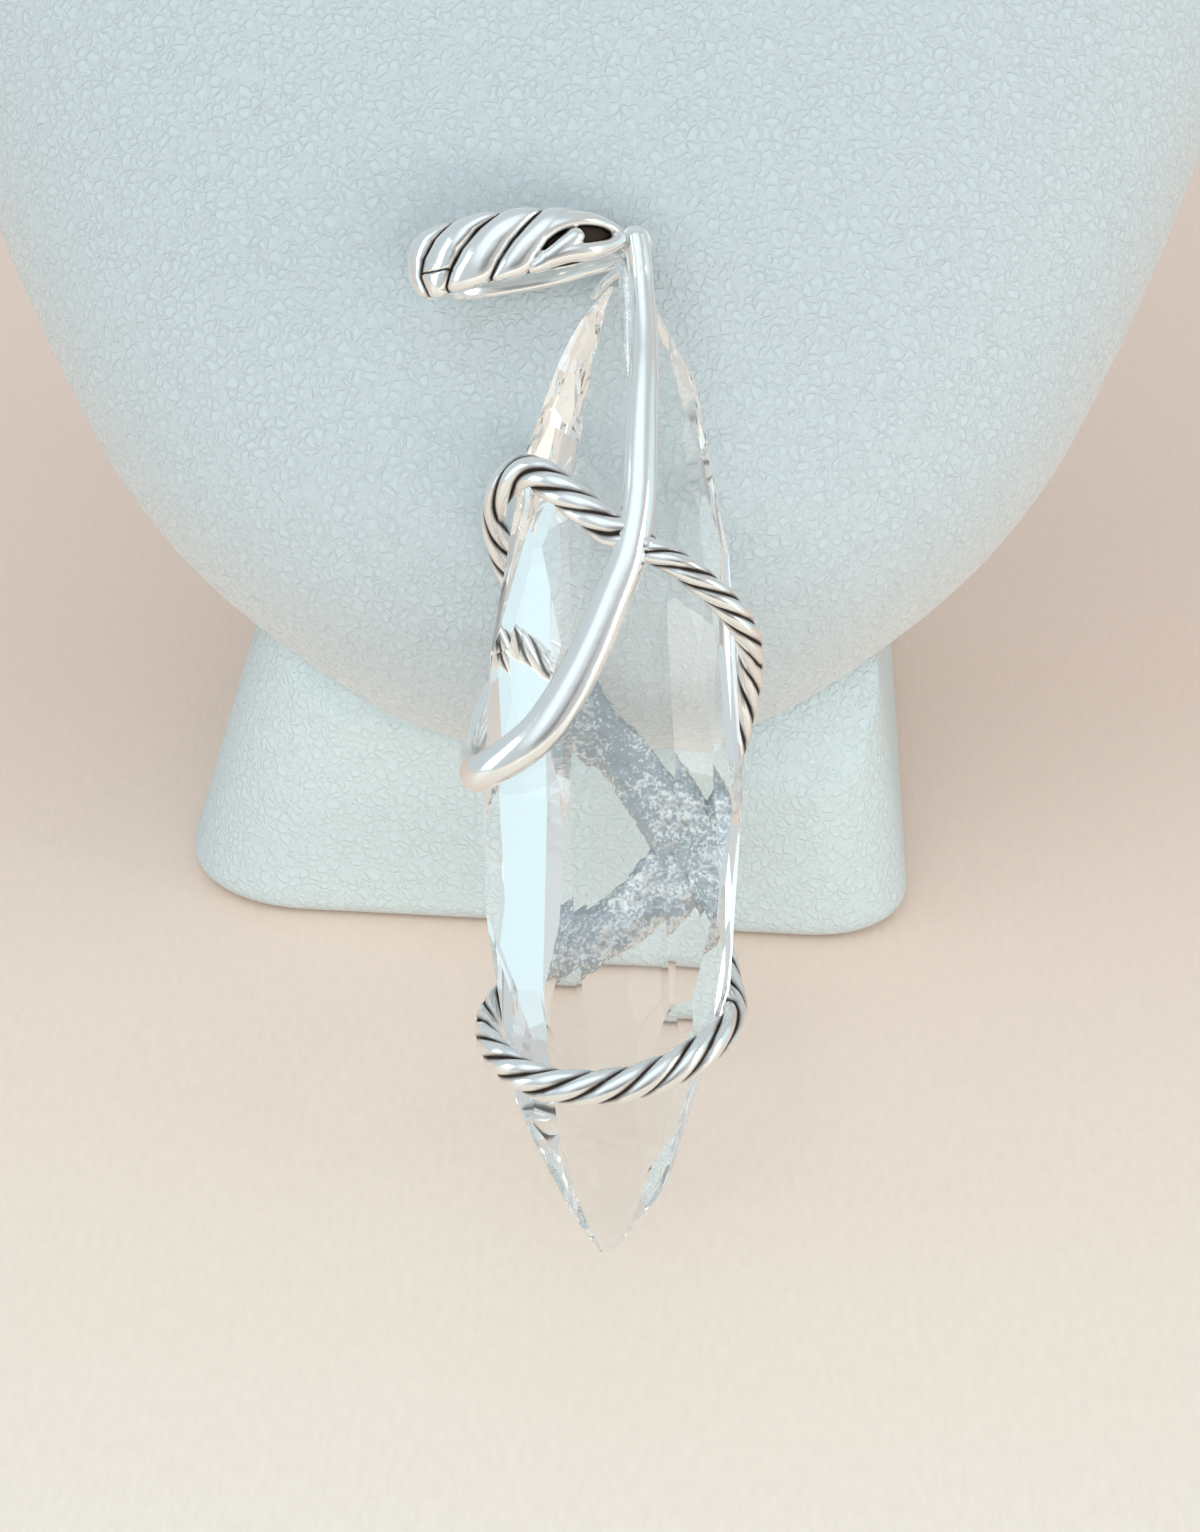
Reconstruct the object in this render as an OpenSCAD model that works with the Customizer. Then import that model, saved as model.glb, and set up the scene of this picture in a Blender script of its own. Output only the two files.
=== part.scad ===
/* [Stone] */
// Length of the stone from tip to apex
stone_l = 84.7; // [76:0.1:92]
// Width of the stone across its belly
stone_w = 21.6; // [20:0.1:23]
// Thickness of the stone before its tables are cut
stone_t = 12.4; // [11.6:0.1:13]
// Thickness between the front and the back table
table_t = 10.8; // [10:0.1:11.4]
// Height of the belly above the tip
belly_s = 38; // [34:0.5:42]
// Facets in one row round the stone
facet_count = 10; // [8:2:12]

/* [Silver wire] */
// Diameter of the twisted cable at its thickest
cable_d = 3.2; // [2.6:0.1:3.4]
// Length of one full turn of the cable's strands
cable_lay = 13; // [10:0.5:16]
// Gap left between the silver and the stone
stone_gap = 0.12; // [0.08:0.01:0.2]

/* [Bail] */
// Length of the bail from its axle to its far end
bail_l = 19.6; // [18.6:0.1:20.4]
// Width of the bail's legs at their widest
bail_w = 5.9; // [5:0.1:6.4]
// Depth of the bail from the front leg's face to the back leg's face
bail_depth = 12.6; // [12:0.1:13]
// Angle of the lying bail below a line square to the stone
bail_droop = 7.4; // [5:0.1:8]
// Radius of the axle that the bail swings on
swing_pin_r = 0.75; // [0.6:0.05:0.9]
// Radius of the pin in the bail's own hinge
gate_pin_r = 0.45; // [0.35:0.05:0.5]
// Radial clearance of the two pins
pin_clear = 0.05; // [0.03:0.01:0.08]

/* [Neck form] */
// Backward lean of the chest and of the jewel on it, in degrees
lean = 36; // [34:0.5:38]
// Height of the stand
form_h = 150; // [140:1:160]
// Width across the shoulders
form_w = 140; // [130:1:150]
// Thickness of the chest
form_t = 24; // [22:0.5:26]

/* [Foot] */
// Width of the foot on the table
foot_w = 72; // [66:1:78]
// Depth of the foot on the table
foot_d = 72; // [66:1:80]
// Radius of the foot's upright corners
foot_r = 9; // [6:0.5:12]

/* [Hidden] */
silver = [0.84, 0.84, 0.85];
leather = [0.88, 0.90, 0.91];
crystal = [0.85, 0.92, 0.95, 0.5];
far = 400;

// Where the jewel stands: its frame has X to the right, Y into the depth and Z up along the stone.
roll = 0.7;
jewel_x = 1.9;
tip_y = -72.98;
tip_z = 0.3;

// Outline of the stone, as a share of its half width at height s. The lower end is more pointed.
tip_power = 0.65;
apex_power = 0.49;
function belly_share(s) = s < belly_s ? (belly_s - s) / belly_s : (s - belly_s) / (stone_l - belly_s);
function outline(s) = pow(max(0, 1 - pow(belly_share(s), 2)), s < belly_s ? tip_power : apex_power);
slope_step = 0.05;
function outline_slope(s) = (outline(s + slope_step) - outline(s - slope_step)) / (2 * slope_step);
facet_rows = [1.1, 3.4, 8, 14.5, 22.5, 31.5, 41, 50.5, 59.5, 67.5, 74.5, 79.6, 82.8, 84.1];

// The surface that the silver lies on, a little outside the facets: half width, half thickness and squareness.
track_w = stone_w / 2 * 1.035;
track_square = 2.5;
function track_t(s) = min(table_t / 2 + 0.35, stone_t / 2 * 1.03 * outline(s));
function signed_pow(v, e) = sign(v) * pow(abs(v), e);
function track_point(s, a, off) =
    let (w = track_w * outline(s))
    let (t = track_t(s))
    let (x = w * signed_pow(cos(a), 2 / track_square))
    let (y = -t * signed_pow(sin(a), 2 / track_square))
    let (n = track_normal(a, w, t))
    [x + n[0] * off, y + n[1] * off, s];
function track_normal(a, w, t) =
    let (nx = signed_pow(cos(a), 2 - 2 / track_square) / w)
    let (ny = -signed_pow(sin(a), 2 - 2 / track_square) / t)
    [nx, ny, 0] / norm([nx, ny]);

// Smooth curve through the rows of a table, with u from 0 to the last row.
function row_at(rows, i) = rows[max(0, min(len(rows) - 1, i))];
function through(rows, u) =
    let (i = min(floor(u), len(rows) - 2))
    let (f = u - i)
    let (a = row_at(rows, i - 1))
    let (b = row_at(rows, i))
    let (c = row_at(rows, i + 1))
    let (d = row_at(rows, i + 2))
    b + f * (c - a) / 2 + f * f * (a - 2.5 * b + 2 * c - d / 2) + f * f * f * (1.5 * (b - c) + (d - a) / 2);

// Solid through rings of points, closed at both ends.
module lofted(rings) {
    m = len(rings[0]);
    last = len(rings) - 1;
    walls = [
        for (i = [0 : last - 1], k = [0 : m - 1])
            let (a = i * m + k)
            let (b = i * m + (k + 1) % m)
            each [[a, b, b + m], [a, b + m, a + m]]
    ];
    foot = [for (k = [1 : m - 2]) [0, k + 1, k]];
    head = [for (k = [1 : m - 2]) [last * m, last * m + k, last * m + k + 1]];
    polyhedron(points = [for (r = rings) each r], faces = concat(walls, foot, head));
}

// Route of the cable: height, angle round the stone, half width, half thickness, depth of the grooves and lift
// where it passes over itself. Behind the stone it is beaten flat and wide, which makes the cross there.
// Angle 0 is the right edge, 90 the front, 180 the left edge and 270 the back.
cable_route = [
    [60.4, 80, 0.9, 0.7, 0.1, 0],
    [61.6, 89, 1, 0.76, 0.22, 0],
    [63.4, 99, 1, 0.76, 0.22, 0],
    [65.4, 114, 1, 0.76, 0.22, 0],
    [67, 131, 1, 0.76, 0.22, 0],
    [67.2, 147, 1, 0.76, 0.22, 0],
    [66, 164, 1, 0.76, 0.22, 0],
    [64.2, 184, 1, 0.76, 0.22, 0],
    [62, 203, 1, 0.76, 0.22, 0],
    [59.2, 221, 1, 0.76, 0.2, 0],
    [55.6, 238, 1.1, 0.72, 0.15, 0],
    [51.2, 252, 1.25, 0.68, 0.1, 0],
    [46, 265, 1.4, 0.62, 0.08, 0],
    [40.8, 280, 1.5, 0.62, 0.08, 0],
    [35.6, 295, 1.5, 0.62, 0.08, 0],
    [31.2, 307, 1.35, 0.68, 0.1, 0],
    [27.6, 318, 1.1, 0.72, 0.15, 0],
    [24.8, 329, 1, 0.76, 0.22, 0],
    [22.4, 341, 1, 0.76, 0.22, 0],
    [20.7, 357, 1, 0.76, 0.22, 0],
    [19.4, 374, 1, 0.76, 0.22, 0],
    [18.2, 389, 1, 0.76, 0.22, 0],
    [17, 402, 1, 0.76, 0.22, 0],
    [15.7, 418, 1, 0.76, 0.22, 0],
    [14.6, 436, 1, 0.76, 0.22, 0],
    [14, 453, 1, 0.76, 0.22, 0],
    [14, 470, 1, 0.76, 0.22, 0],
    [14.5, 488, 1, 0.76, 0.22, 0],
    [15.7, 508, 1, 0.76, 0.22, 0],
    [17.4, 528, 1, 0.76, 0.22, 0],
    [19.3, 548, 1, 0.76, 0.22, 0],
    [21.2, 569, 1, 0.76, 0.2, 0],
    [23, 590, 1.1, 0.72, 0.15, 0],
    [24.9, 609, 1.25, 0.68, 0.1, 0.25],
    [27.4, 625, 1.4, 0.62, 0.08, 0.5],
    [31.2, 642, 1.5, 0.62, 0.08, 0.5],
    [35.6, 659, 1.5, 0.62, 0.08, 0.5],
    [39.8, 672, 1.3, 0.68, 0.1, 0.5],
    [43.4, 685, 1.05, 0.72, 0.15, 0.5],
    [46.8, 699, 0.85, 0.78, 0.22, 0.25],
    [49.8, 712, 0.82, 0.78, 0.22, 0],
    [52.2, 726, 0.8, 0.78, 0.22, 0],
    [54, 739, 0.8, 0.78, 0.22, 0],
    [55.4, 751, 0.8, 0.78, 0.22, 0],
    [56.7, 763, 0.8, 0.78, 0.22, 0],
    [58, 775, 0.8, 0.78, 0.22, 0],
    [59.3, 787, 0.8, 0.78, 0.22, 0],
    [60.2, 798, 0.78, 0.68, 0.15, 0]
];
cable_rings = 190;
cable_strands = 4;
points_per_strand = 3;
function cable_centre(row) = track_point(row[0], row[1], row[3] * cable_d / 2 + row[5] + stone_gap);
function cable_row(i) = through(cable_route, i / cable_rings * (len(cable_route) - 1));
function unit(v) = v / norm(v);
function square_to(v, t) = unit(v - (v * t) * t);

// Length of the cable up to ring i, which turns its strands.
cable_steps = [for (i = [1 : cable_rings]) norm(cable_centre(cable_row(i)) - cable_centre(cable_row(i - 1)))];
function running(steps, i, sum = 0) = i == 0 ? sum : running(steps, i - 1, sum + steps[i - 1]);
function cable_ring(i) =
    let (row = cable_row(i))
    let (c = cable_centre(row))
    let (t = unit(cable_centre(cable_row(min(cable_rings, i + 1))) - cable_centre(cable_row(max(0, i - 1)))))
    let (out = square_to(track_normal(row[1], track_w * outline(row[0]), track_t(row[0])), t))
    let (across = cross(t, out))
    let (turn = running(cable_steps, i) / cable_lay * 360)
    let (m = cable_strands * points_per_strand)
    [
        for (k = [0 : m - 1])
            let (a = 360 * k / m + turn)
            let (r = cable_d / 2 * (k % points_per_strand == 0 ? 1 - row[4] : 1))
            c + across * (r * row[2] * cos(a)) + out * (r * row[3] * sin(a))
    ];

// Route of the smooth bar on the stone: height, angle round the stone, half width and half thickness.
bar_route = [
    [82.2, 65, 1, 1],
    [80.2, 69, 1.1, 1.05],
    [76.6, 74.5, 1.25, 1.12],
    [73, 78, 1.4, 1.2],
    [68.6, 80.3, 1.5, 1.25],
    [64.4, 82, 1.55, 1.25],
    [59.8, 86, 1.6, 1.25],
    [55.8, 90.5, 1.64, 1.25],
    [51.9, 96, 1.7, 1.25],
    [48, 104.5, 1.76, 1.25],
    [44.6, 116, 1.8, 1.25],
    [42.6, 130, 1.78, 1.2],
    [41.4, 147, 1.7, 1.15],
    [41.1, 164, 1.62, 1.15],
    [42.4, 182, 1.5, 1.1],
    [45.2, 197, 1.45, 1.05],
    [48.6, 210, 1.4, 1],
    [51.2, 226, 1.3, 1],
    [52.4, 243, 1.1, 0.9]
];
bar_rings = 44;
bar_sides = 12;
swing_at = [1.55, -0.6, 88.5];
bar_head_r = 1.0;
bar_head = [swing_at[0], -3.1, swing_at[2]];
head_back = -2.0;
function bar_row(i) = through(bar_route, i / bar_rings * (len(bar_route) - 1));
function bar_centre(i) = let (row = bar_row(i)) track_point(row[0], row[1], row[3] + stone_gap);
function bar_ring(i) =
    let (row = bar_row(i))
    let (t = unit(bar_centre(min(bar_rings, i + 1)) - bar_centre(max(0, i - 1))))
    let (out = square_to(track_normal(row[1], track_w * outline(row[0]), track_t(row[0])), t))
    let (across = cross(t, out))
    [
        for (k = [0 : bar_sides - 1])
            let (a = 360 * k / bar_sides)
            bar_centre(i) + across * (row[2] * cos(a)) + out * (row[3] * sin(a))
    ];

// Silver over the apex, as chains of balls with centre and radius: the bridge from the bar to the post behind,
// the post with the axle's far end, the thin arm left of the apex, and the flange along the bar.
post_front = 3.3;
post_head_r = 1.0;
bridge = [
    [[1.7, -3.0, 85.9], 0.8],
    [[1.1, 0, 86.0], 0.72],
    [[1.1, 3.4, 85.8], 0.72]
];
post = [
    [[1.1, 3.4, 85.8], 0.72],
    [[1.45, 4.3, 87.4], 0.75]
];
apex_arm = [
    [[1.1, -1.2, 85.9], 0.55],
    [[-1.3, -0.3, 85.4], 0.45],
    [[-3.2, 0.4, 83.7], 0.38]
];
flange = [
    [[0.9, -2.4, 85.7], 0.6],
    [[0.75, -2.6, 83.6], 0.5],
    [[0.95, -3.3, 81.0], 0.42],
    [[1.2, -3.9, 79.0], 0.32]
];

// Bail frame: X from the axle to the far end, Y into the depth, Z down across the legs.
leg_t = 1.2;
barrel_r = 1.5;
barrel_front = -1.2;
barrel_back = 3.7;
knuckle_r = 1.15;
knuckle_gap = 0.1;
tongue_w = 1.3;
cheek_share = 0.86;
catch_w = 1.6;
catch_top = -2.15;
hinge_at = [bail_l - knuckle_r - 0.1, -0.7, 0];
front_face = -bail_depth / 2 - 0.35;
back_face = front_face + bail_depth;

// Middle line of the back leg: distance from the axle as a share of the bail's length, depth, and half width as
// a share of the bail's width.
back_leg = [
    [0.046, barrel_back - leg_t / 2 - 0.1, 0.24],
    [0.112, barrel_back - leg_t / 2, 0.26],
    [0.214, back_face - 2.2, 0.32],
    [0.367, back_face - leg_t / 2 - 0.15, 0.4],
    [0.55, back_face - leg_t / 2, 0.46],
    [0.73, back_face - leg_t / 2 - 0.7, 0.49],
    [0.865, back_face - 3.1, 0.47],
    [0.939, hinge_at[1] + 0.2, 0.42]
];
back_rings = 22;
back_sides = 12;

// Middle line of the front leg's plate, in the same columns.
plate_t = 0.9;
edge_t = 0.4;
strand_rise = 0.7;
front_leg = [
    [0.094, -2.7, 0.17],
    [0.138, -3.5, 0.27],
    [0.214, front_face + 2.0, 0.36],
    [0.337, front_face + 1.4, 0.44],
    [0.49, front_face + 1.2, 0.49],
    [0.645, front_face + 1.35, 0.5],
    [0.785, front_face + 2.1, 0.5],
    [0.895, front_face + 3.3, 0.47],
    [0.957, hinge_at[1] - 1.9, 0.42]
];
front_rings = 44;
front_cross = 10;

// Strands of the front leg: where the grooves cross its middle line, their slope, and the hollow in the loop.
grooves = [5.8, 8, 10.8, 15, 19];
groove_slope = 0.62;
groove_half = 1.3;
hollow_at = [3.9, -0.1];
hollow_size = [1.3, 0.7];
function strand_height(u, w) =
    let (c = u - groove_slope * w)
    let (d = norm([(u - hollow_at[0]) / hollow_size[0], (w - hollow_at[1]) / hollow_size[1]]))
    let (strand = min([for (g = grooves) pow(min(1, abs(c - g) / groove_half), 0.55)]))
    min(pow(max(0, min(1, (d - 1) / 0.8)), 0.5), strand);

// Outline of the chest along its slope: distance up from its lower rim, half width, and height of the front
// over the flat back.
rim_s = 46;
back_f = 30.35;
form_sections = [
    [0, 1.5, 2.5],
    [0.5, 6.5, 6],
    [1.8, 12.6, 10],
    [4, 18.2, 13.6],
    [7.2, 23.8, 17],
    [10.8, 28.9, 20],
    [15, 34.2, 22.4],
    [20.6, 39.8, form_t],
    [28, 45.3, form_t + 0.6],
    [38, 50.6, form_t + 0.7],
    [50, 56, form_t + 0.2],
    [63, 61, form_t - 0.6],
    [76, form_w / 2 * 0.935, form_t - 1.2],
    [88, form_w / 2 * 0.985, form_t - 1.4],
    [98, form_w / 2, form_t - 1],
    [107, form_w / 2 * 0.97, form_t],
    [115, form_w / 2 * 0.87, form_t + 1.5],
    [121, form_w / 2 * 0.7, form_t + 3.4],
    [127, form_w / 2 * 0.53, form_t + 5],
    [134, form_w / 2 * 0.43, form_t + 6.4],
    [146, form_w / 2 * 0.38, form_t + 7.6]
];
form_square = 2.35;
form_points = 32;

// The foot: how far its front stands behind the tip, its lean and its height.
foot_front = 54.5;
foot_x = -3.3;
foot_taper_left = 13;
foot_taper_right = 6;
foot_back_h = 84;
form_gap = 0.1;

// Puts children in the jewel's frame.
module on_jewel() {
    translate([jewel_x, tip_y, tip_z])
        rotate([-lean, 0, 0])
            rotate([0, roll, 0])
                children();
}

// Puts children in the bail's frame.
module on_bail() {
    on_jewel()
        translate(swing_at)
            rotate([0, 180 - bail_droop, 0])
                children();
}

// Puts children in the frame of the chest, X across, Y out of its flat back towards the front, Z up its slope.
module on_chest() {
    translate([0, tip_y, tip_z])
        rotate([-lean, 0, 0])
            translate([0, back_f, rim_s])
                children();
}

// White leatherette chest and neck: a flat back and a full front, cut level at the top.
module neck_form() {
    level_s = (form_h - tip_z + back_f * sin(lean)) / cos(lean) - rim_s;
    level_rise = tan(lean);
    rows = form_sections;
    top = rows[len(rows) - 1];
    function section(w, h) = [
        for (k = [0 : form_points - 1])
            let (a = 180 * k / (form_points - 1))
            [w * signed_pow(cos(a), 2 / form_square), -h * pow(max(0, sin(a)), 2 / form_square)]
    ];
    function flat_ring(row) = [for (p = section(row[1], row[2])) [p[0], p[1], row[0]]];
    function level_ring(row) = [for (p = section(row[1], row[2])) [p[0], p[1], level_s + p[1] * level_rise]];
    color(leather)
        on_chest()
            lofted([for (i = [0 : len(rows) - 2]) flat_ring(rows[i]), level_ring(top)]);
}

// Leatherette foot: upright rounded corners, tapered sides, and a slanted top that the chest is fixed to.
module stand_foot() {
    front_y = tip_y + foot_front;
    back_y = front_y + foot_d;
    low = foot_w / 2;
    high_left = low - foot_back_h * tan(foot_taper_left);
    high_right = low - foot_back_h * tan(foot_taper_right);
    color(leather)
        difference() {
            translate([foot_x, 0, 0])
                intersection() {
                    linear_extrude(foot_back_h)
                        union() {
                            translate([-low, front_y + foot_r])
                                square([foot_w, foot_d - 2 * foot_r]);
                            translate([-low + foot_r, front_y])
                                square([foot_w - 2 * foot_r, foot_d]);
                            for (x = [-low + foot_r, low - foot_r], y = [front_y + foot_r, back_y - foot_r])
                                translate([x, y])
                                    circle(r = foot_r, $fn = 64);
                        }
                    translate([0, back_y + 1, 0])
                        rotate([90, 0, 0])
                            linear_extrude(foot_d + 2)
                                polygon([
                                    [-low, 0], [low, 0], [high_right, foot_back_h], [-high_left, foot_back_h]
                                ]);
                }
            on_chest()
                translate([-far / 2, form_gap - far, -far / 2])
                    cube(far);
        }
}

// Clear faceted stone: each facet is one plane laid against the round form, which is then drawn out to its
// real width and thickness. Rows are staggered by half a facet, so their facets come out as long kites.
module stone() {
    step = 360 / facet_count;
    block = 3;
    color(crystal)
        on_jewel()
            intersection() {
                resize([stone_w, stone_t, stone_l])
                    intersection() {
                        translate([-1, -1, 0])
                            cube([2, 2, stone_l]);
                        difference() {
                            translate([-block / 2, -block / 2, 0])
                                cube([block, block, stone_l]);
                            for (i = [0 : len(facet_rows) - 1], k = [0 : facet_count - 1])
                                facet_cut(facet_rows[i], (k + (i % 2) / 2) * step + 90);
                        }
                    }
                translate([-stone_w, -table_t / 2, -1])
                    cube([2 * stone_w, table_t, stone_l + 2]);
            }
}

// Takes away what lies outside one facet of the round form.
module facet_cut(s, a) {
    r = outline(s);
    tilt = atan(-outline_slope(s));
    translate([r * cos(a), r * sin(a), s])
        rotate([0, 90 - tilt, a])
            translate([-far / 2, -far / 2, 0])
                cube(far);
}

// All the silver soldered round the stone: bar, cable, rough cross and the silver over the apex.
module wire_wrap() {
    color(silver)
        on_jewel()
            union() {
                lofted([for (i = [0 : cable_rings]) cable_ring(i)]);
                lofted([for (i = [0 : bar_rings]) bar_ring(i)]);
                bar_top();
                apex_cap();
            }
}

// Round chain through balls given by centre and radius.
module chain(balls) {
    for (i = [1 : len(balls) - 1])
        hull() {
            translate(balls[i - 1][0])
                sphere(r = balls[i - 1][1], $fn = 16);
            translate(balls[i][0])
                sphere(r = balls[i][1], $fn = 16);
        }
}

// Short round boss on the line of the axle, from depth y over a reach to a rounded end, forward if negative.
module boss(y, r, reach) {
    hull() {
        translate([swing_at[0], y, swing_at[2]])
            rotate([reach > 0 ? -90 : 90, 0, 0])
                cylinder(r = r, h = 0.3, $fn = 24);
        translate([swing_at[0], y + reach, swing_at[2]])
            sphere(r = r * 0.95, $fn = 16);
    }
}

// The bar's top, which bends off the stone and ends in the round head of the axle.
module bar_top() {
    chain([
        [bar_centre(0), bar_row(0)[2]],
        [[2.0, -3.2, 84.6], 0.98],
        [[1.8, -3.2, 86.6], 0.97],
        [bar_head, bar_head_r]
    ]);
    boss(head_back, bar_head_r, -1.1);
}

// Silver over the apex, from the bar to the post that holds the axle's far end.
module apex_cap() {
    chain(bridge);
    chain(post);
    chain(apex_arm);
    chain(flange);
    boss(post_front, post_head_r, 1.33);
}

// Axle from the bar's head to the post behind.
module swing_pin() {
    color(silver)
        on_jewel()
            translate([swing_at[0], head_back + 0.05, swing_at[2]])
                rotate([-90, 0, 0])
                    cylinder(r = swing_pin_r, h = post_front - head_back - 0.1, $fn = 48);
}

// Upright round rod in the bail's frame, centred across the legs.
module across_rod(r, h) {
    translate([0, 0, -h / 2])
        cylinder(r = r, h = h, $fn = 48);
}

// Smooth back leg with the barrel on the axle, and two cheeks with the pin of the bail's own hinge.
module bail_back() {
    function raw(i) = through(back_leg, i / back_rings * (len(back_leg) - 1));
    function row(i) = let (r = raw(i)) [r[0] * bail_l, r[1], r[2]];
    function ring(i) =
        let (r = row(i))
        let (ahead = row(min(back_rings, i + 1)) - row(max(0, i - 1)))
        let (n = [-ahead[1], ahead[0]] / norm([ahead[0], ahead[1]]))
        [
            for (k = [0 : back_sides - 1])
                let (a = 360 * k / back_sides)
                let (f = leg_t / 2 * signed_pow(sin(a), 0.7))
                [r[0] + n[0] * f, r[1] + n[1] * f, bail_w * r[2] * signed_pow(cos(a), 0.7)]
        ];
    color(silver)
        on_bail()
            difference() {
                union() {
                    difference() {
                        union() {
                            lofted([for (i = [0 : back_rings]) ring(i)]);
                            translate(hinge_at)
                                across_rod(knuckle_r, bail_w * cheek_share);
                        }
                        translate(hinge_at)
                            across_rod(knuckle_r + knuckle_gap, 2 * (tongue_w + knuckle_gap));
                    }
                    translate(hinge_at)
                        across_rod(gate_pin_r, bail_w * cheek_share - 0.2);
                    translate([0, barrel_front, 0])
                        rotate([-90, 0, 0])
                            cylinder(r = barrel_r, h = barrel_back - barrel_front, $fn = 48);
                    translate([0, barrel_front, -catch_w / 2])
                        cube([2.5, 0.9, catch_w]);
                    translate([1.35, catch_top, -catch_w / 2])
                        cube([1.15, 1.5, catch_w]);
                }
                translate([0, barrel_front - 1, 0])
                    rotate([-90, 0, 0])
                        cylinder(r = swing_pin_r + pin_clear, h = barrel_back - barrel_front + 2, $fn = 48);
            }
}

// Front leg with its raised strands, on the tongue that turns between the cheeks.
module bail_front() {
    function raw(i) = through(front_leg, i / front_rings * (len(front_leg) - 1));
    function row(i) = let (r = raw(i)) [r[0] * bail_l, r[1], r[2]];
    function ring(i) =
        let (r = row(i))
        let (ahead = row(min(front_rings, i + 1)) - row(max(0, i - 1)))
        let (n = [ahead[1], -ahead[0]] / norm([ahead[0], ahead[1]]))
        let (half = bail_w * r[2])
        [
            for (k = [0 : front_cross])
                let (w = -half * cos(180 * k / front_cross))
                let (full = plate_t - edge_t + strand_rise * strand_height(r[0], w))
                let (f = edge_t - plate_t / 2 + full * pow(sin(180 * k / front_cross), 0.8))
                [r[0] + n[0] * f, r[1] + n[1] * f, w],
            for (w = [half * 0.96, 0, -half * 0.96])
                [r[0] - n[0] * plate_t / 2, r[1] - n[1] * plate_t / 2, w]
        ];
    color(silver)
        on_bail()
            difference() {
                union() {
                    lofted([for (i = [0 : front_rings]) ring(i)]);
                    translate(hinge_at)
                        across_rod(knuckle_r, 2 * tongue_w);
                    translate([hinge_at[0] - 0.7, hinge_at[1] - 2, -tongue_w])
                        cube([1.4, 2, 2 * tongue_w]);
                }
                translate(hinge_at)
                    across_rod(gate_pin_r + pin_clear, 4 * tongue_w);
            }
}

neck_form();
stand_foot();
stone();
wire_wrap();
swing_pin();
bail_back();
bail_front();
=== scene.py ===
"""Looks of a clear crystal pendant enhancer in silver wire, leaning on a white neck bust."""

import logging
import math
from dataclasses import dataclass
from enum import Enum, IntEnum
from typing import ClassVar

import bmesh
import bpy
import numpy as np
from mathutils import Matrix, Vector


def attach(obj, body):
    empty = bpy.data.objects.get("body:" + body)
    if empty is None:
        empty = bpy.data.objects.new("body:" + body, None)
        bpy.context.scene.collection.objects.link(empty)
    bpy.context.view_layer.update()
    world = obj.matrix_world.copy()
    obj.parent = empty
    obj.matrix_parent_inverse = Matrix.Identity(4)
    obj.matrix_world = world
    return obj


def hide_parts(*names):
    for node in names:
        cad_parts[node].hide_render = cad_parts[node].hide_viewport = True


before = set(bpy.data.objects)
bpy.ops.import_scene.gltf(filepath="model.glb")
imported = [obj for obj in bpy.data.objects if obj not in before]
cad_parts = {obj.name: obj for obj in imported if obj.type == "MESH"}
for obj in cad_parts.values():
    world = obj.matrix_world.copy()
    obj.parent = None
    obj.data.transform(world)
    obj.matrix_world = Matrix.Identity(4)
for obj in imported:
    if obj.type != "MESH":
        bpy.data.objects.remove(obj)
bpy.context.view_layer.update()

LOG = logging.getLogger("pendant")
MM = 0.001
# Distance in metres within which points are merged, and sides of the round parts of the bail.
MERGE = 1e-7
TURNED_SIDES = 64

Colour = tuple[float, float, float]
Point = tuple[float, float, float]
Row = tuple[float, ...]
Faces = list[tuple[int, ...]]


class Body(str, Enum):
    """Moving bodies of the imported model."""

    DROP = "stand_and_drop"
    BAIL = "bail"
    GATE = "bail_gate"


class Slot(str, Enum):
    """Material slots of the record."""

    LEATHER = "leatherette"
    CRYSTAL = "crystal"
    SILVER = "silver"


class Side(IntEnum):
    """Sides of the stone, as the sign of their depth."""

    FRONT = -1
    BACK = 1


class Change(str, Enum):
    """What a tool does to the piece that it meets."""

    ADD = "UNION"
    TAKE = "DIFFERENCE"


# Shared shapes

def through(rows: list[Row] | tuple[Row, ...] | np.ndarray, count: int) -> np.ndarray:
    """Draws a smooth curve through the rows of a table.

    Args:
        rows: Table whose columns are all carried along the curve.
        count: Number of points on the curve.

    Returns:
        One row for each point.
    """
    table = np.asarray(rows, dtype=float)
    last = len(table) - 1
    u = np.linspace(0, last, count)
    i = np.minimum(u.astype(int), last - 1)
    f = (u - i)[:, None]
    a, b = table[np.maximum(i - 1, 0)], table[i]
    c, d = table[i + 1], table[np.minimum(i + 2, last)]
    return b + f * (c - a) / 2 + f**2 * (a - 2.5 * b + 2 * c - d / 2) + f**3 * (1.5 * (b - c) + (d - a) / 2)


def unit(vectors: np.ndarray) -> np.ndarray:
    """Returns the vectors at length one."""
    return vectors / np.maximum(np.linalg.norm(vectors, axis=-1, keepdims=True), 1e-12)


def signed_pow(values: np.ndarray, exponent: float) -> np.ndarray:
    """Returns the values raised to a power, with their signs kept."""
    return np.sign(values) * np.abs(values) ** exponent


def plain_mesh(name: str, points: np.ndarray, faces: Faces, place: np.ndarray) -> bpy.types.Object:
    """Makes a mesh object at the origin from points in millimetres.

    Args:
        name: Name of the object and its mesh.
        points: Points in the millimetres of a sub-assembly's own frame.
        faces: Corner numbers of each face.
        place: Matrix from that frame to the shared one, in millimetres.

    Returns:
        The new object, with outward normals and smooth shading.
    """
    moved = (points @ place[:3, :3].T + place[:3, 3]) * MM
    mesh = bpy.data.meshes.new(name)
    mesh.from_pydata(moved.tolist(), [], faces)
    piece = bpy.data.objects.new(name, mesh)
    bpy.context.collection.objects.link(piece)
    face_outwards(mesh)
    mesh.shade_smooth()
    return piece


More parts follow.
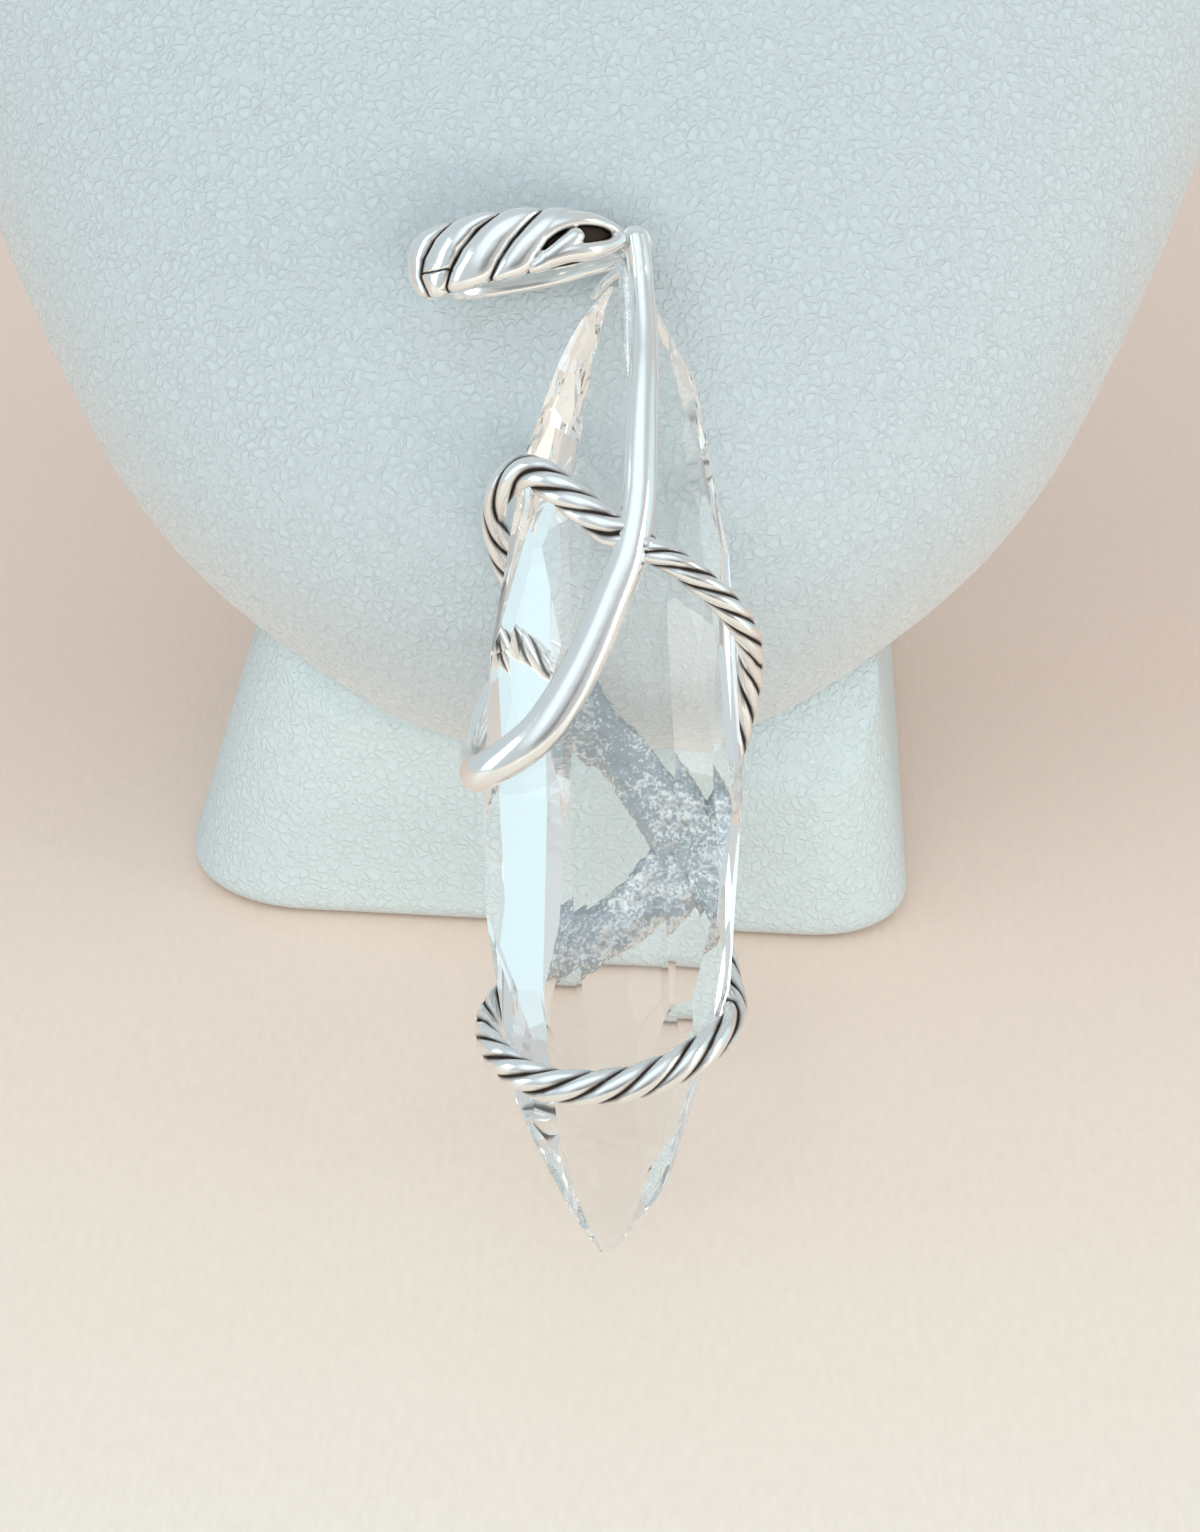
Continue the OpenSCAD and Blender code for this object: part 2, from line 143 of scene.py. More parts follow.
def face_outwards(mesh: bpy.types.Mesh) -> None:
    """Turns every face outwards.

    Args:
        mesh: A closed mesh, whose doubles are merged first.
    """
    work = bmesh.new()
    work.from_mesh(mesh)
    bmesh.ops.remove_doubles(work, verts=work.verts, dist=MERGE)
    bmesh.ops.recalc_face_normals(work, faces=work.faces)
    work.to_mesh(mesh)
    work.free()


def cut_away(work: bmesh.types.BMesh, spot: Vector, normal: Vector, near: float = 0.0) -> None:
    """Cuts away all that stands in front of a plane, and closes the cut.

    Args:
        work: The closed mesh.
        spot: A point on the plane.
        normal: Its normal, towards what goes.
        near: Distance within which a point counts as on the plane.
    """
    everything = work.verts[:] + work.edges[:] + work.faces[:]
    bmesh.ops.bisect_plane(work, geom=everything, plane_co=spot, plane_no=normal, dist=near, clear_outer=True)
    rim = [edge for edge in work.edges if edge.is_boundary]
    if rim:
        bmesh.ops.holes_fill(work, edges=rim, sides=0)


def ring_faces(rings: int, sides: int, first: int = 0) -> Faces:
    """Lists the faces of a closed tube through rings of points.

    Args:
        rings: Number of rings.
        sides: Number of points in each ring.
        first: Number of the first point.

    Returns:
        Quads for the wall and one face for each end.
    """
    faces: Faces = []
    for i in range(rings - 1):
        for k in range(sides):
            a, b = first + i * sides + k, first + i * sides + (k + 1) % sides
            faces.append((a, b, b + sides, a + sides))
    faces.append(tuple(first + k for k in reversed(range(sides))))
    faces.append(tuple(first + (rings - 1) * sides + k for k in range(sides)))
    return faces


def give_float(piece: bpy.types.Object, name: str, values: np.ndarray) -> None:
    """Gives a mesh a number for each point.

    Args:
        piece: The mesh object.
        name: Name that a material reads.
        values: The numbers.
    """
    layer = piece.data.attributes.new(name, "FLOAT", "POINT")
    layer.data.foreach_set("value", np.asarray(values, dtype=np.float32))


def join(name: str, pieces: list[bpy.types.Object]) -> bpy.types.Object:
    """Joins pieces into one object, which takes the first one's place.

    Args:
        name: Name of the joined object.
        pieces: Objects to join.

    Returns:
        The joined object.
    """
    with bpy.context.temp_override(active_object=pieces[0], selected_editable_objects=pieces, object=pieces[0]):
        bpy.ops.object.join()
    pieces[0].name = pieces[0].data.name = name
    return pieces[0]


def finish_piece(
    piece: bpy.types.Object, body: Body, material: bpy.types.Material, nodes: tuple[str, ...]
) -> None:
    """Dresses a piece and declares what it stands for.

    Args:
        piece: The finished mesh object.
        body: Body that it rides on.
        material: Its material.
        nodes: CAD nodes that it replaces.
    """
    piece.data.materials.clear()
    piece.data.materials.append(material)
    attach(piece, body.value)
    if nodes:
        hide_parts(*nodes)
    LOG.info("%s: %d faces on %s", piece.name, len(piece.data.polygons), body.value)


@dataclass(frozen=True)
class Placement:
    """Frames of the jewel, its bail and the chest, as the CAD source gives them, in millimetres."""

    lean: float = 36.0
    roll: float = 0.7
    tip: Point = (1.9, -72.98, 0.3)
    swing_at: Point = (1.55, -0.6, 88.5)
    bail_droop: float = 7.4
    chest_back: float = 30.35
    chest_rim: float = 46.0

    def slope(self) -> Matrix:
        """Returns the tilt that the jewel and the chest share."""
        return Matrix.Rotation(math.radians(-self.lean), 4, "X")

    def jewel(self) -> np.ndarray:
        """Returns the frame with X to the right, Y into the depth and Z up along the stone."""
        return np.array(Matrix.Translation(self.tip) @ self.slope() @ Matrix.Rotation(math.radians(self.roll), 4, "Y"))

    def bail(self) -> np.ndarray:
        """Returns the frame with X from the axle to the bail's far end and Z down across its legs."""
        turn = Matrix.Rotation(math.radians(180 - self.bail_droop), 4, "Y")
        return self.jewel() @ np.array(Matrix.Translation(self.swing_at) @ turn)

    def chest(self) -> np.ndarray:
        """Works out the chest's own frame.

        Returns:
            The frame with X across, Y into the depth and Z up along the flat back, from its lower rim.
        """
        tip = (0.0, self.tip[1], self.tip[2])
        lift = Matrix.Translation((0.0, self.chest_back, self.chest_rim))
        return np.array(Matrix.Translation(tip) @ self.slope() @ lift)


# Finishes

class NodeBuilder:
    """Adds and links the nodes of one shader or geometry tree."""

    def __init__(self, tree: bpy.types.NodeTree) -> None:
        """Keeps the tree and clears its nodes."""
        self.tree = tree
        tree.nodes.clear()

    def add(self, kind: str, inputs: dict[str | int, object] | None = None, **settings: object) -> bpy.types.Node:
        """Adds one node.

        Args:
            kind: Type name of the node.
            inputs: Values or sockets for its inputs, by name or number.
            settings: Properties of the node.

        Returns:
            The new node.
        """
        node = self.tree.nodes.new(kind)
        for key, value in settings.items():
            setattr(node, key, value)
        for key, value in (inputs or {}).items():
            self.put(node.inputs[key], value)
        return node

    def put(self, socket: bpy.types.NodeSocket, value: object) -> None:
        """Fills one input.

        Args:
            socket: The input.
            value: A socket to link it to, or its value.
        """
        if isinstance(value, bpy.types.NodeSocket):
            self.tree.links.new(value, socket)
        else:
            socket.default_value = value

    def math(self, operation: str, *values: object) -> bpy.types.NodeSocket:
        """Adds a Math node and returns its result."""
        return self.add("ShaderNodeMath", dict(enumerate(values)), operation=operation).outputs[0]

    def vector(self, operation: str, *values: object) -> bpy.types.NodeSocket:
        """Adds a Vector Math node and returns its vector."""
        return self.add("ShaderNodeVectorMath", dict(enumerate(values)), operation=operation).outputs[0]

    def scaled(self, direction: bpy.types.NodeSocket, size: bpy.types.NodeSocket) -> bpy.types.NodeSocket:
        """Returns a vector times a number."""
        return self.add("ShaderNodeVectorMath", {"Vector": direction, "Scale": size}, operation="SCALE").outputs[0]

    def place(self) -> bpy.types.NodeSocket:
        """Returns the place on the piece, in metres."""
        return self.add("ShaderNodeTexCoord").outputs["Object"]

    def noise(
        self, place: bpy.types.NodeSocket, scale: object, detail: float, output: str = "Fac"
    ) -> bpy.types.NodeSocket:
        """Returns the noise at a place."""
        return self.add("ShaderNodeTexNoise", {"Vector": place, "Scale": scale, "Detail": detail}).outputs[output]

    def ramp(
        self, value: object, source: tuple[object, object] = (0.0, 1.0), target: tuple[float, float] = (0.0, 1.0),
        soft: bool = False,
    ) -> bpy.types.NodeSocket:
        """Carries a value from one range to another.

        Args:
            value: The number or socket.
            source: Its range.
            target: The range of the result.
            soft: Whether the ends are eased.

        Returns:
            The result, held inside its range.
        """
        ends = {"Value": value, "From Min": source[0], "From Max": source[1], "To Min": target[0], "To Max": target[1]}
        kind = "SMOOTHSTEP" if soft else "LINEAR"
        return self.add("ShaderNodeMapRange", ends, interpolation_type=kind).outputs["Result"]

    def mix(self, share: object, first: object, second: object) -> bpy.types.NodeSocket:
        """Mixes two colours, each a socket or three numbers.

        Args:
            share: Share of the second.
            first: The first.
            second: The second.

        Returns:
            The colour.
        """
        ends = [(*end, 1.0) if isinstance(end, tuple) else end for end in (first, second)]
        return self.add("ShaderNodeMix", {0: share, 6: ends[0], 7: ends[1]}, data_type="RGBA").outputs[2]


def node_group(name: str, inputs: dict[str, float], outputs: dict[str, str]) -> tuple[NodeBuilder, dict]:
    """Starts a shader node group with named sockets.

    Args:
        name: Name of the group.
        inputs: Default value of each number that goes in.
        outputs: Socket type of each value that comes out.

    Returns:
        Its builder, with a dictionary of the input sockets.
    """
    tree = bpy.data.node_groups.new(name, "ShaderNodeTree")
    for key, value in inputs.items():
        tree.interface.new_socket(key, in_out="INPUT", socket_type="NodeSocketFloat").default_value = value
    for key, kind in outputs.items():
        tree.interface.new_socket(key, in_out="OUTPUT", socket_type=kind)
    build = NodeBuilder(tree)
    entry = build.add("NodeGroupInput")
    return build, {socket.name: socket for socket in entry.outputs if socket.name}


class SharedEffects:
    """Shader node groups that more than one finish uses."""

    # How far the pebbles stray, in metres, at which scale, and how much finer the grain on them is.
    WANDER: ClassVar[float] = 0.0016
    WANDER_SCALE: ClassVar[float] = 700.0
    FINER: ClassVar[float] = 2.6

    def __init__(self) -> None:
        """Builds the groups."""
        self.grain = self.build_grain()
        self.mottle = self.build_mottle()

    def build_grain(self) -> bpy.types.NodeTree:
        """Builds the pebbled grain of leatherette.

        Returns:
            The group, which gives a height and a mask of the creases, where the leatherette paints shade.
        """
        build, entry = node_group(
            "leather_grain",
            {"Cells": 1000.0, "Softness": 0.5, "Fine": 0.3},
            {"Height": "NodeSocketFloat", "Creases": "NodeSocketFloat"},
        )
        place = build.place()
        wander = build.noise(place, self.WANDER_SCALE, 3.0, "Color")
        bent = build.vector("ADD", place, build.vector("MULTIPLY", wander, (self.WANDER,) * 3))
        cells = build.add(
            "ShaderNodeTexVoronoi", {"Vector": bent, "Scale": entry["Cells"]}, feature="DISTANCE_TO_EDGE"
        ).outputs["Distance"]
        dome = build.ramp(cells, (0.0, entry["Softness"]), soft=True)
        fine = build.noise(place, build.math("MULTIPLY", entry["Cells"], self.FINER), 3.0)
        height = build.math("MULTIPLY_ADD", fine, entry["Fine"], dome)
        crease_shade_mask = build.math("SUBTRACT", 1.0, dome)
        build.add("NodeGroupOutput", {"Height": height, "Creases": crease_shade_mask})
        return build.tree

    def build_mottle(self) -> bpy.types.NodeTree:
        """Builds soft uneven patches for colour and roughness.

        Returns:
            The group, which gives their mask.
        """
        build, entry = node_group("mottle", {"Scale": 60.0, "Contrast": 1.0}, {"Mask": "NodeSocketFloat"})
        noise = build.noise(build.place(), entry["Scale"], 5.0)
        swing = build.math("MULTIPLY", build.math("SUBTRACT", noise, 0.5), entry["Contrast"])
        mask = build.add("ShaderNodeMath", {0: swing, 1: 0.5}, operation="ADD", use_clamp=True).outputs[0]
        build.add("NodeGroupOutput", {"Mask": mask})
        return build.tree


def start_material(name: str) -> tuple[bpy.types.Material, NodeBuilder]:
    """Starts a material.

    Args:
        name: Its name.

    Returns:
        The material, with the builder of its empty tree.
    """
    material = bpy.data.materials.new(name)
    material.use_nodes = True
    return material, NodeBuilder(material.node_tree)


def use_group(build: NodeBuilder, tree: bpy.types.NodeTree, **values: float) -> bpy.types.Node:
    """Places a shared effect in a material.

    Args:
        build: Builder of the material.
        tree: The effect's node group.
        values: Its inputs for this material.

    Returns:
        The group's node.
    """
    node = build.add("ShaderNodeGroup", node_tree=tree)
    for key, value in values.items():
        node.inputs[key].default_value = value
    return node


def close_material(build: NodeBuilder, shader: bpy.types.Node) -> None:
    """Links a shader to the material's output."""
    build.add("ShaderNodeOutputMaterial", {"Surface": shader.outputs[0]})


@dataclass(frozen=True)
class Leatherette:
    """Matt white leatherette with a fine pebbled grain and painted shade in the creases between its pebbles."""

    name: str
    # The chest's colour, painted darker and bluer than the foot's copy of the same leatherette, for the dimmer, cooler
    # light on the chest.
    colour: Colour = (0.468, 0.538, 0.566)
    # Darker colour painted into the creases as shade.
    crease_shade_colour: Colour = (0.40, 0.42, 0.42)
    # Pebbles to the metre, how soft their edges are, how strong the finer grain is, and the height of it all.
    cells: float = 1000.0
    softness: float = 0.27
    fine: float = 0.35
    bump: float = 0.0001
    # How much painted shade darkens the creases, and the scale and contrast of the patches where it does.
    crease_shade_share: float = 0.42
    crease_shade_patches: tuple[float, float] = (500.0, 1.2)
    # Scale and contrast of the patches of gloss, and how far they go below and above the roughness.
    patches: tuple[float, float] = (45.0, 0.9)
    roughness: float = 0.5
    swing: tuple[float, float] = (0.05, 0.08)
    specular: float = 0.4
    sheen: float = 0.6
    sheen_roughness: float = 0.6
    sheen_tint: Colour = (1.0, 0.93, 0.86)

    def material(self, effects: SharedEffects) -> bpy.types.Material:
        """Builds the material.

        Args:
            effects: The shared grain and mottle.

        Returns:
            The leatherette.
        """
        material, build = start_material(self.name)
        grain = use_group(build, effects.grain, Cells=self.cells, Softness=self.softness, Fine=self.fine)
        patches = use_group(build, effects.mottle, Scale=self.patches[0], Contrast=self.patches[1])
        crease_shade_patches = use_group(build, effects.mottle, Scale=self.crease_shade_patches[0], Contrast=self.crease_shade_patches[1])
        # Painted shade: the creases between the pebbles take a darker colour, in patches a few creases wide.
        crease_shade_mask = build.math("MULTIPLY", grain.outputs["Creases"], crease_shade_patches.outputs["Mask"])
        colour = build.mix(build.math("MULTIPLY", crease_shade_mask, self.crease_shade_share), self.colour, self.crease_shade_colour)
        ends = (self.roughness - self.swing[0], self.roughness + self.swing[1])
        bump = {"Height": grain.outputs["Height"], "Distance": self.bump, "Strength": 1.0}
        shader = build.add(
            "ShaderNodeBsdfPrincipled",
            {
                "Base Color": colour,
                "Roughness": build.ramp(patches.outputs["Mask"], target=ends),
                "Normal": build.add("ShaderNodeBump", bump).outputs[0],
                "Specular IOR Level": self.specular,
                "Sheen Weight": self.sheen,
                "Sheen Roughness": self.sheen_roughness,
                "Sheen Tint": (*self.sheen_tint, 1.0),
            },
        )
        close_material(build, shader)
        return material


@dataclass(frozen=True)
class Silver:
    """Bright polished silver with dark oxide left in its hollows, and bright spots on its beaten parts that are partly
    painted glints.
    """

    name: str
    reads_hollows: bool = True
    colour: Colour = (0.93, 0.92, 0.905)
    oxide: Colour = (0.055, 0.038, 0.03)
    beaten: Colour = (0.42, 0.47, 0.51)
    # Scale and contrast of the patches of gloss, the roughness, and the shares of it at which they end.
    patches: tuple[float, float] = (900.0, 1.6)
    roughness: float = 0.13
    swing: tuple[float, float] = (0.75, 1.5)
    # Scales of the soft dents, of the drawn lines along three axes, and of the grit, with the height of it all.
    dent_scale: float = 380.0
    line_scale: Point = (4200.0, 4200.0, 420.0)
    grit_scale: float = 3200.0
    line_height: float = 0.12
    grit_height: float = 4.0
    bump: float = 0.00003
    # Depths between which the oxide fades in, and noise between which beaten silver turns from dull to bright: the
    # bright spots stand partly for polished high points and partly for painted glints.
    oxide_depth: tuple[float, float] = (0.1, 0.6)
    glint_noise: tuple[float, float] = (0.62, 0.47)
    dull_share: float = 0.95
    # Roughness that the oxide and the beating add.
    oxide_rough: float = 0.35
    beaten_rough: float = 0.26

    def material(self, effects: SharedEffects) -> bpy.types.Material:
        """Builds the material.

        Args:
            effects: The shared grain and mottle.

        Returns:
            The silver. It reads the attributes valley and rough only if it reads hollows.
        """
        material, build = start_material(self.name)
        patches = use_group(build, effects.mottle, Scale=self.patches[0], Contrast=self.patches[1])
        place = build.place()
        dents = build.noise(place, self.dent_scale, 3.0)
        stretched = build.add("ShaderNodeMapping", {"Vector": place, "Scale": self.line_scale}).outputs[0]
        height = build.math("MULTIPLY_ADD", build.noise(stretched, 1.0, 2.0), self.line_height, dents)
        ends = (self.roughness * self.swing[0], self.roughness * self.swing[1])
        rough = build.ramp(patches.outputs["Mask"], target=ends)
        colour: object = (*self.colour, 1.0)
        if self.reads_hollows:
            beaten = build.add("ShaderNodeAttribute", attribute_name="rough").outputs["Fac"]
            grit = build.noise(place, self.grit_scale, 4.0)
            height = build.math("MULTIPLY_ADD", build.math("MULTIPLY", grit, beaten), self.grit_height, height)
            uneven = build.math("SUBTRACT", dents, 0.5)
            valley = build.add("ShaderNodeAttribute", attribute_name="valley").outputs["Fac"]
            mask = build.ramp(build.math("MULTIPLY_ADD", uneven, 0.5, valley), self.oxide_depth, soft=True)
            rough = build.math("MULTIPLY_ADD", mask, self.oxide_rough, rough)
            rough = build.math("MULTIPLY_ADD", beaten, self.beaten_rough, rough)
            # Painted glints: where the grit is high, beaten silver keeps the bright polished colour, standing partly
            # for worn high points.
            dull_between_glints = build.ramp(build.math("MULTIPLY_ADD", uneven, 0.8, grit), self.glint_noise)
            dull_between_glints = build.math("MULTIPLY", build.math("MULTIPLY", beaten, dull_between_glints), self.dull_share)
            colour = build.mix(dull_between_glints, build.mix(mask, self.colour, self.oxide), self.beaten)
        bump = build.add("ShaderNodeBump", {"Height": height, "Distance": self.bump, "Strength": 1.0})
        shader = build.add(
            "ShaderNodeBsdfPrincipled",
            {"Base Color": colour, "Roughness": rough, "Normal": bump.outputs[0], "Metallic": 1.0},
        )
        close_material(build, shader)
        return material


@dataclass(frozen=True)
class Crystal:
    """Clear polished crystal."""

    name: str = "crystal"
    ior: float = 1.5
    tint: Colour = (1.0, 0.995, 0.985)
    # Scale and contrast of its faint veils, and the most roughness in them.
    veils: tuple[float, float] = (90.0, 2.0)
    veil_rough: float = 0.012

    def material(self, effects: SharedEffects) -> bpy.types.Material:
        """Builds the material.

        Args:
            effects: The shared grain and mottle.

        Returns:
            The clear glass of the crystal.
        """
        material, build = start_material(self.name)
        veils = use_group(build, effects.mottle, Scale=self.veils[0], Contrast=self.veils[1])
        shader = build.add(
            "ShaderNodeBsdfPrincipled",
            {
                "Base Color": (*self.tint, 1.0),
                "Roughness": build.ramp(veils.outputs["Mask"], target=(0.0, self.veil_rough)),
                "IOR": self.ior,
                "Transmission Weight": 1.0,
                "Metallic": 0.0,
            },
        )
        close_material(build, shader)
        return material


@dataclass(frozen=True)
class TableSatin:
    """Pale pink satin board under the bust, with light painted into its colour: whiter towards the front, pinker and
    darker towards the back.
    """

    name: str = "table_satin"
    colour: Colour = (0.935, 0.845, 0.73)
    far_shade_colour: Colour = (0.93, 0.70, 0.58)
    speck_colour: Colour = (0.72, 0.60, 0.52)
    # Depths in metres between which the painted light turns from the whiter front to the darker pink back, and how much
    # its patches bend that.
    turn: tuple[float, float] = (-0.13, 0.03)
    bend: float = 0.04
    patches: tuple[float, float] = (9.0, 0.8)
    fibre_scale: Point = (1500.0, 420.0, 900.0)
    speck_noise: tuple[float, float] = (0.35, 0.7)
    speck_share: float = 0.16
    bump: float = 0.00005
    roughness: float = 0.42

    def material(self, effects: SharedEffects) -> bpy.types.Material:
        """Builds the material.

        Args:
            effects: The shared grain and mottle.

        Returns:
            The satin.
        """
        material, build = start_material(self.name)
        patches = use_group(build, effects.mottle, Scale=self.patches[0], Contrast=self.patches[1])
        place = build.place()
        fibres = build.add("ShaderNodeMapping", {"Vector": place, "Scale": self.fibre_scale}).outputs[0]
        weave = build.noise(fibres, 1.0, 3.0)
        bump = build.add("ShaderNodeBump", {"Height": weave, "Distance": self.bump, "Strength": 1.0})
        depth = build.add("ShaderNodeSeparateXYZ", {"Vector": place}).outputs["Y"]
        painted_light_depth = build.math("MULTIPLY_ADD", build.math("SUBTRACT", patches.outputs["Mask"], 0.5), self.bend, depth)
        # Painted light: the colour turns with depth from the whiter front to the darker, pinker back, standing in for
        # uneven light on the satin.
        tint = build.mix(build.ramp(painted_light_depth, self.turn), self.colour, self.far_shade_colour)
        speck = build.ramp(weave, self.speck_noise, (0.0, self.speck_share))
        shader = build.add(
            "ShaderNodeBsdfPrincipled",
            {
                "Base Color": build.mix(speck, tint, self.speck_colour),
                "Roughness": self.roughness,
                "Normal": bump.outputs[0],
            },
        )
        close_material(build, shader)
        return material


# Stone

@dataclass(frozen=True)
class StoneForm:
    """Round form of the stone, which the silver follows a little outside the facets."""

    length: float = 84.7
    width: float = 21.6
    thickness: float = 12.4
    table: float = 10.8
    belly: float = 38.0
    tip_power: float = 0.65
    apex_power: float = 0.49
    square: float = 2.5
    gap: float = 0.12
    # How much wider and thicker the track is than the stone, and how far it stands over the table.
    wider: float = 1.035
    thicker: float = 1.03
    over_table: float = 0.35

    def outline(self, s: np.ndarray) -> np.ndarray:
        """Works out how wide the stone is.

        Args:
            s: Heights.

        Returns:
            The share of the full width at each.
        """
        low = s < self.belly
        share = np.where(low, (self.belly - s) / self.belly, (s - self.belly) / (self.length - self.belly))
        return np.maximum(0.0, 1 - share**2) ** np.where(low, self.tip_power, self.apex_power)

    def halves(self, s: np.ndarray) -> tuple[np.ndarray, np.ndarray]:
        """Works out the size of the track round the stone.

        Args:
            s: Heights.

        Returns:
            Half the width and half the thickness at each.
        """
        share = self.outline(s)
        thick = np.minimum(self.table / 2 + self.over_table, self.thickness / 2 * self.thicker * share)
        return self.width / 2 * self.wider * share, thick

    def normal(self, s: np.ndarray, angle: np.ndarray) -> np.ndarray:
        """Works out the way out of the track.

        Args:
            s: Heights.
            angle: Angles in radians from the right edge.

        Returns:
            The level normals.
        """
        w, t = self.halves(s)
        nx = signed_pow(np.cos(angle), 2 - 2 / self.square) / w
        ny = -signed_pow(np.sin(angle), 2 - 2 / self.square) / t
        return unit(np.stack([nx, ny, np.zeros_like(nx)], axis=-1))

    def point(self, s: np.ndarray, angle: np.ndarray, off: np.ndarray) -> np.ndarray:
        """Finds points outside the track.

        Args:
            s: Heights.
            angle: Angles in radians from the right edge.
            off: Distances from the track.

        Returns:
            The points.
        """
        w, t = self.halves(s)
        x = w * signed_pow(np.cos(angle), 2 / self.square)
        y = -t * signed_pow(np.sin(angle), 2 / self.square)
        return np.stack([x, y, s], axis=-1) + self.normal(s, angle) * off[..., None]


@dataclass
class FacetedDrop:
    """Clear drop cut all over in long kites, each one plane laid against the round form."""

    stone: StoneForm
    place: np.ndarray
    # Heights of the facets in each row, with where they stand across the width as shares of its half.
    full_rows: tuple[float, ...] = (5.2, 23.7, 42.3, 60.6, 75.8, 83.4)
    between_rows: tuple[float, ...] = (1.4, 14.2, 33.0, 51.6, 68.6, 80.6)
    front_full: tuple[float, ...] = (-0.92, -0.42, 0.0, 0.9)
    front_between: tuple[float, ...] = (-0.66, 0.7, 0.98)
    back_full: tuple[float, ...] = (-0.9, -0.46, -0.24, 0.0, 0.3, 0.6, 0.9)
    back_between: tuple[float, ...] = (-0.68, -0.3, -0.12, 0.15, 0.45, 0.76, 0.97)
    front_square: float = 2.6
    back_square: float = 2.3
    # Beyond this share to the left, the section falls away more straight.
    left_from: float = -0.31
    # On the back it starts nearer the middle above a height.
    upper_from: tuple[float, float] = (66.0, -0.08)
    left_square: tuple[float, float] = (1.35, 1.2)
    left_thick: tuple[float, float] = (6.6, 7.4)
    low_left_thick: float = 0.4
    tip_power: float = 0.73
    # Half thickness of the back at the tip, and how it grows with height.
    back_tip: tuple[float, float] = (0.15, 0.19)
    flat: float = 5.75
    round_thick: float = 6.4
    # Width and thickness of the block that the facets are cut from.
    block: tuple[float, float] = (28.08, 20.0)
    # Step in millimetres for the slope of the form, and the reach and steps of the search for its surface.
    step: float = 0.02
    reach: float = 8.0
    halvings: int = 40
    # Distances in millimetres within which a corner lies on a cut, and within which two corners are one.
    near: float = 1e-5
    merge: float = 0.01
    # The left side runs more straight to the apex than the right.
    left_apex_power: float = 0.6
    # Large facets on the left: a point, the tilt to the left in degrees and the lean upwards.
    large_left: tuple[Row, ...] = (
        (-3.2, -5.6, 32.0, 36.0, -0.04),
        (-3.9, -3.9, 11.6, 36.0, -0.443),
        (-1.1, 5.9, 34.0, 31.0, 0.0),
    )
    # Share and height of three points of the large facet at the upper left, the last on the edge.
    upper_left: tuple[tuple[float, float], ...] = ((-0.5, 66.0), (0.0, 75.0), (-0.98, 80.0))

    def share(self, s: float, x: float) -> float:
        """Works out how wide one side of the cut stone is.

        Args:
            s: Height.
            x: Any place on that side.

        Returns:
            The share of the full width.
        """
        full = float(self.stone.outline(np.array(s)))
        if s < self.stone.belly:
            return full ** (self.tip_power / self.stone.tip_power)
        if x >= 0:
            return full
        return full ** (self.left_apex_power / self.stone.apex_power)

    def bulge(self, x: float, y: float, s: float, left: bool) -> float:
        """Measures how far a point lies outside the form.

        Args:
            x: Its place across the stone.
            y: Its depth.
            s: Its height.
            left: Whether the straighter left part of the form counts, and not the round one.

        Returns:
            The distance as a share, below 0 inside.
        """
        wide = self.stone.width / 2 * self.share(s, x)
        thick = self.round_thick * self.share(s, 0)
        if y > 0 and s < self.stone.belly:
            thick = min(self.back_tip[0] + self.back_tip[1] * s, 2 * thick)
        if left:
            square = self.left_square[y > 0]
            thick *= self.left_thick[y > 0] / self.round_thick
            if y > 0:
                thick *= 1 + self.low_left_thick * max(0.0, 1 - s / self.stone.belly)
        else:
            square = self.back_square if y > 0 else self.front_square
            thick = (self.flat**-8 + thick**-8) ** (-1 / 8)
        return (abs(x) / wide) ** square + (abs(y) / thick) ** square - 1

    def spot(self, share: float, s: float, side: Side, left: bool) -> Vector:
        """Finds the point of the form at a share of its half width.

        Args:
            share: Share of the half width.
            s: Height.
            side: Side of the stone.
            left: Whether the straighter left part of the form counts.

        Returns:
            The point.
        """
        x = share * self.stone.width / 2 * self.share(s, share)
        low, high = 0.0, self.reach
        for _ in range(self.halvings):
            middle = (low + high) / 2
            low, high = (middle, high) if self.bulge(x, side * middle, s, left) < 0 else (low, middle)
        return Vector((x, side * low, s))

    @staticmethod
    def tilted(x: float, y: float, s: float, tilt: float, lean: float) -> tuple[Vector, Vector]:
        """Lays a large facet on the left.

        Args:
            x: Place across the stone.
            y: Depth.
            s: Height.
            tilt: Tilt to the left in degrees.
            lean: How far it leans upwards.

        Returns:
            A point on the facet and its outward normal.
        """
        a = math.radians(tilt)
        return Vector((x, y, s)), Vector((-math.sin(a), math.copysign(math.cos(a), y), lean)).normalized()

    def upper_facet(self) -> tuple[Vector, Vector]:
        """Lays the large facet at the upper left through its three points.

        Returns:
            A point on the facet and its outward normal.
        """
        low, top, (share, s) = self.upper_left
        near, high = self.spot(*low, Side.FRONT, False), self.spot(*top, Side.FRONT, False)
        edge = Vector((share * self.stone.width / 2 * self.share(s, share), 0.0, s))
        normal = (high - near).cross(edge - near).normalized()
        return near, -normal if normal.y > 0 else normal

    def plane(self, share: float, s: float, side: Side) -> tuple[Vector, Vector]:
        """Lays one facet against the form.

        Args:
            share: Where it stands across the width, as a share of its half.
            s: Its height.
            side: Side of the stone.

        Returns:
            A point on the facet and its outward normal.
        """
        upper = side is Side.BACK and s > self.upper_from[0]
        left = share < (self.upper_from[1] if upper else self.left_from)
        spot = self.spot(share, s, side, left)
        h = self.step
        slope = [
            self.bulge(*(spot + h * axis), left) - self.bulge(*(spot - h * axis), left)
            for axis in (Vector((1, 0, 0)), Vector((0, 1, 0)), Vector((0, 0, 1)))
        ]
        return spot, Vector(slope).normalized()

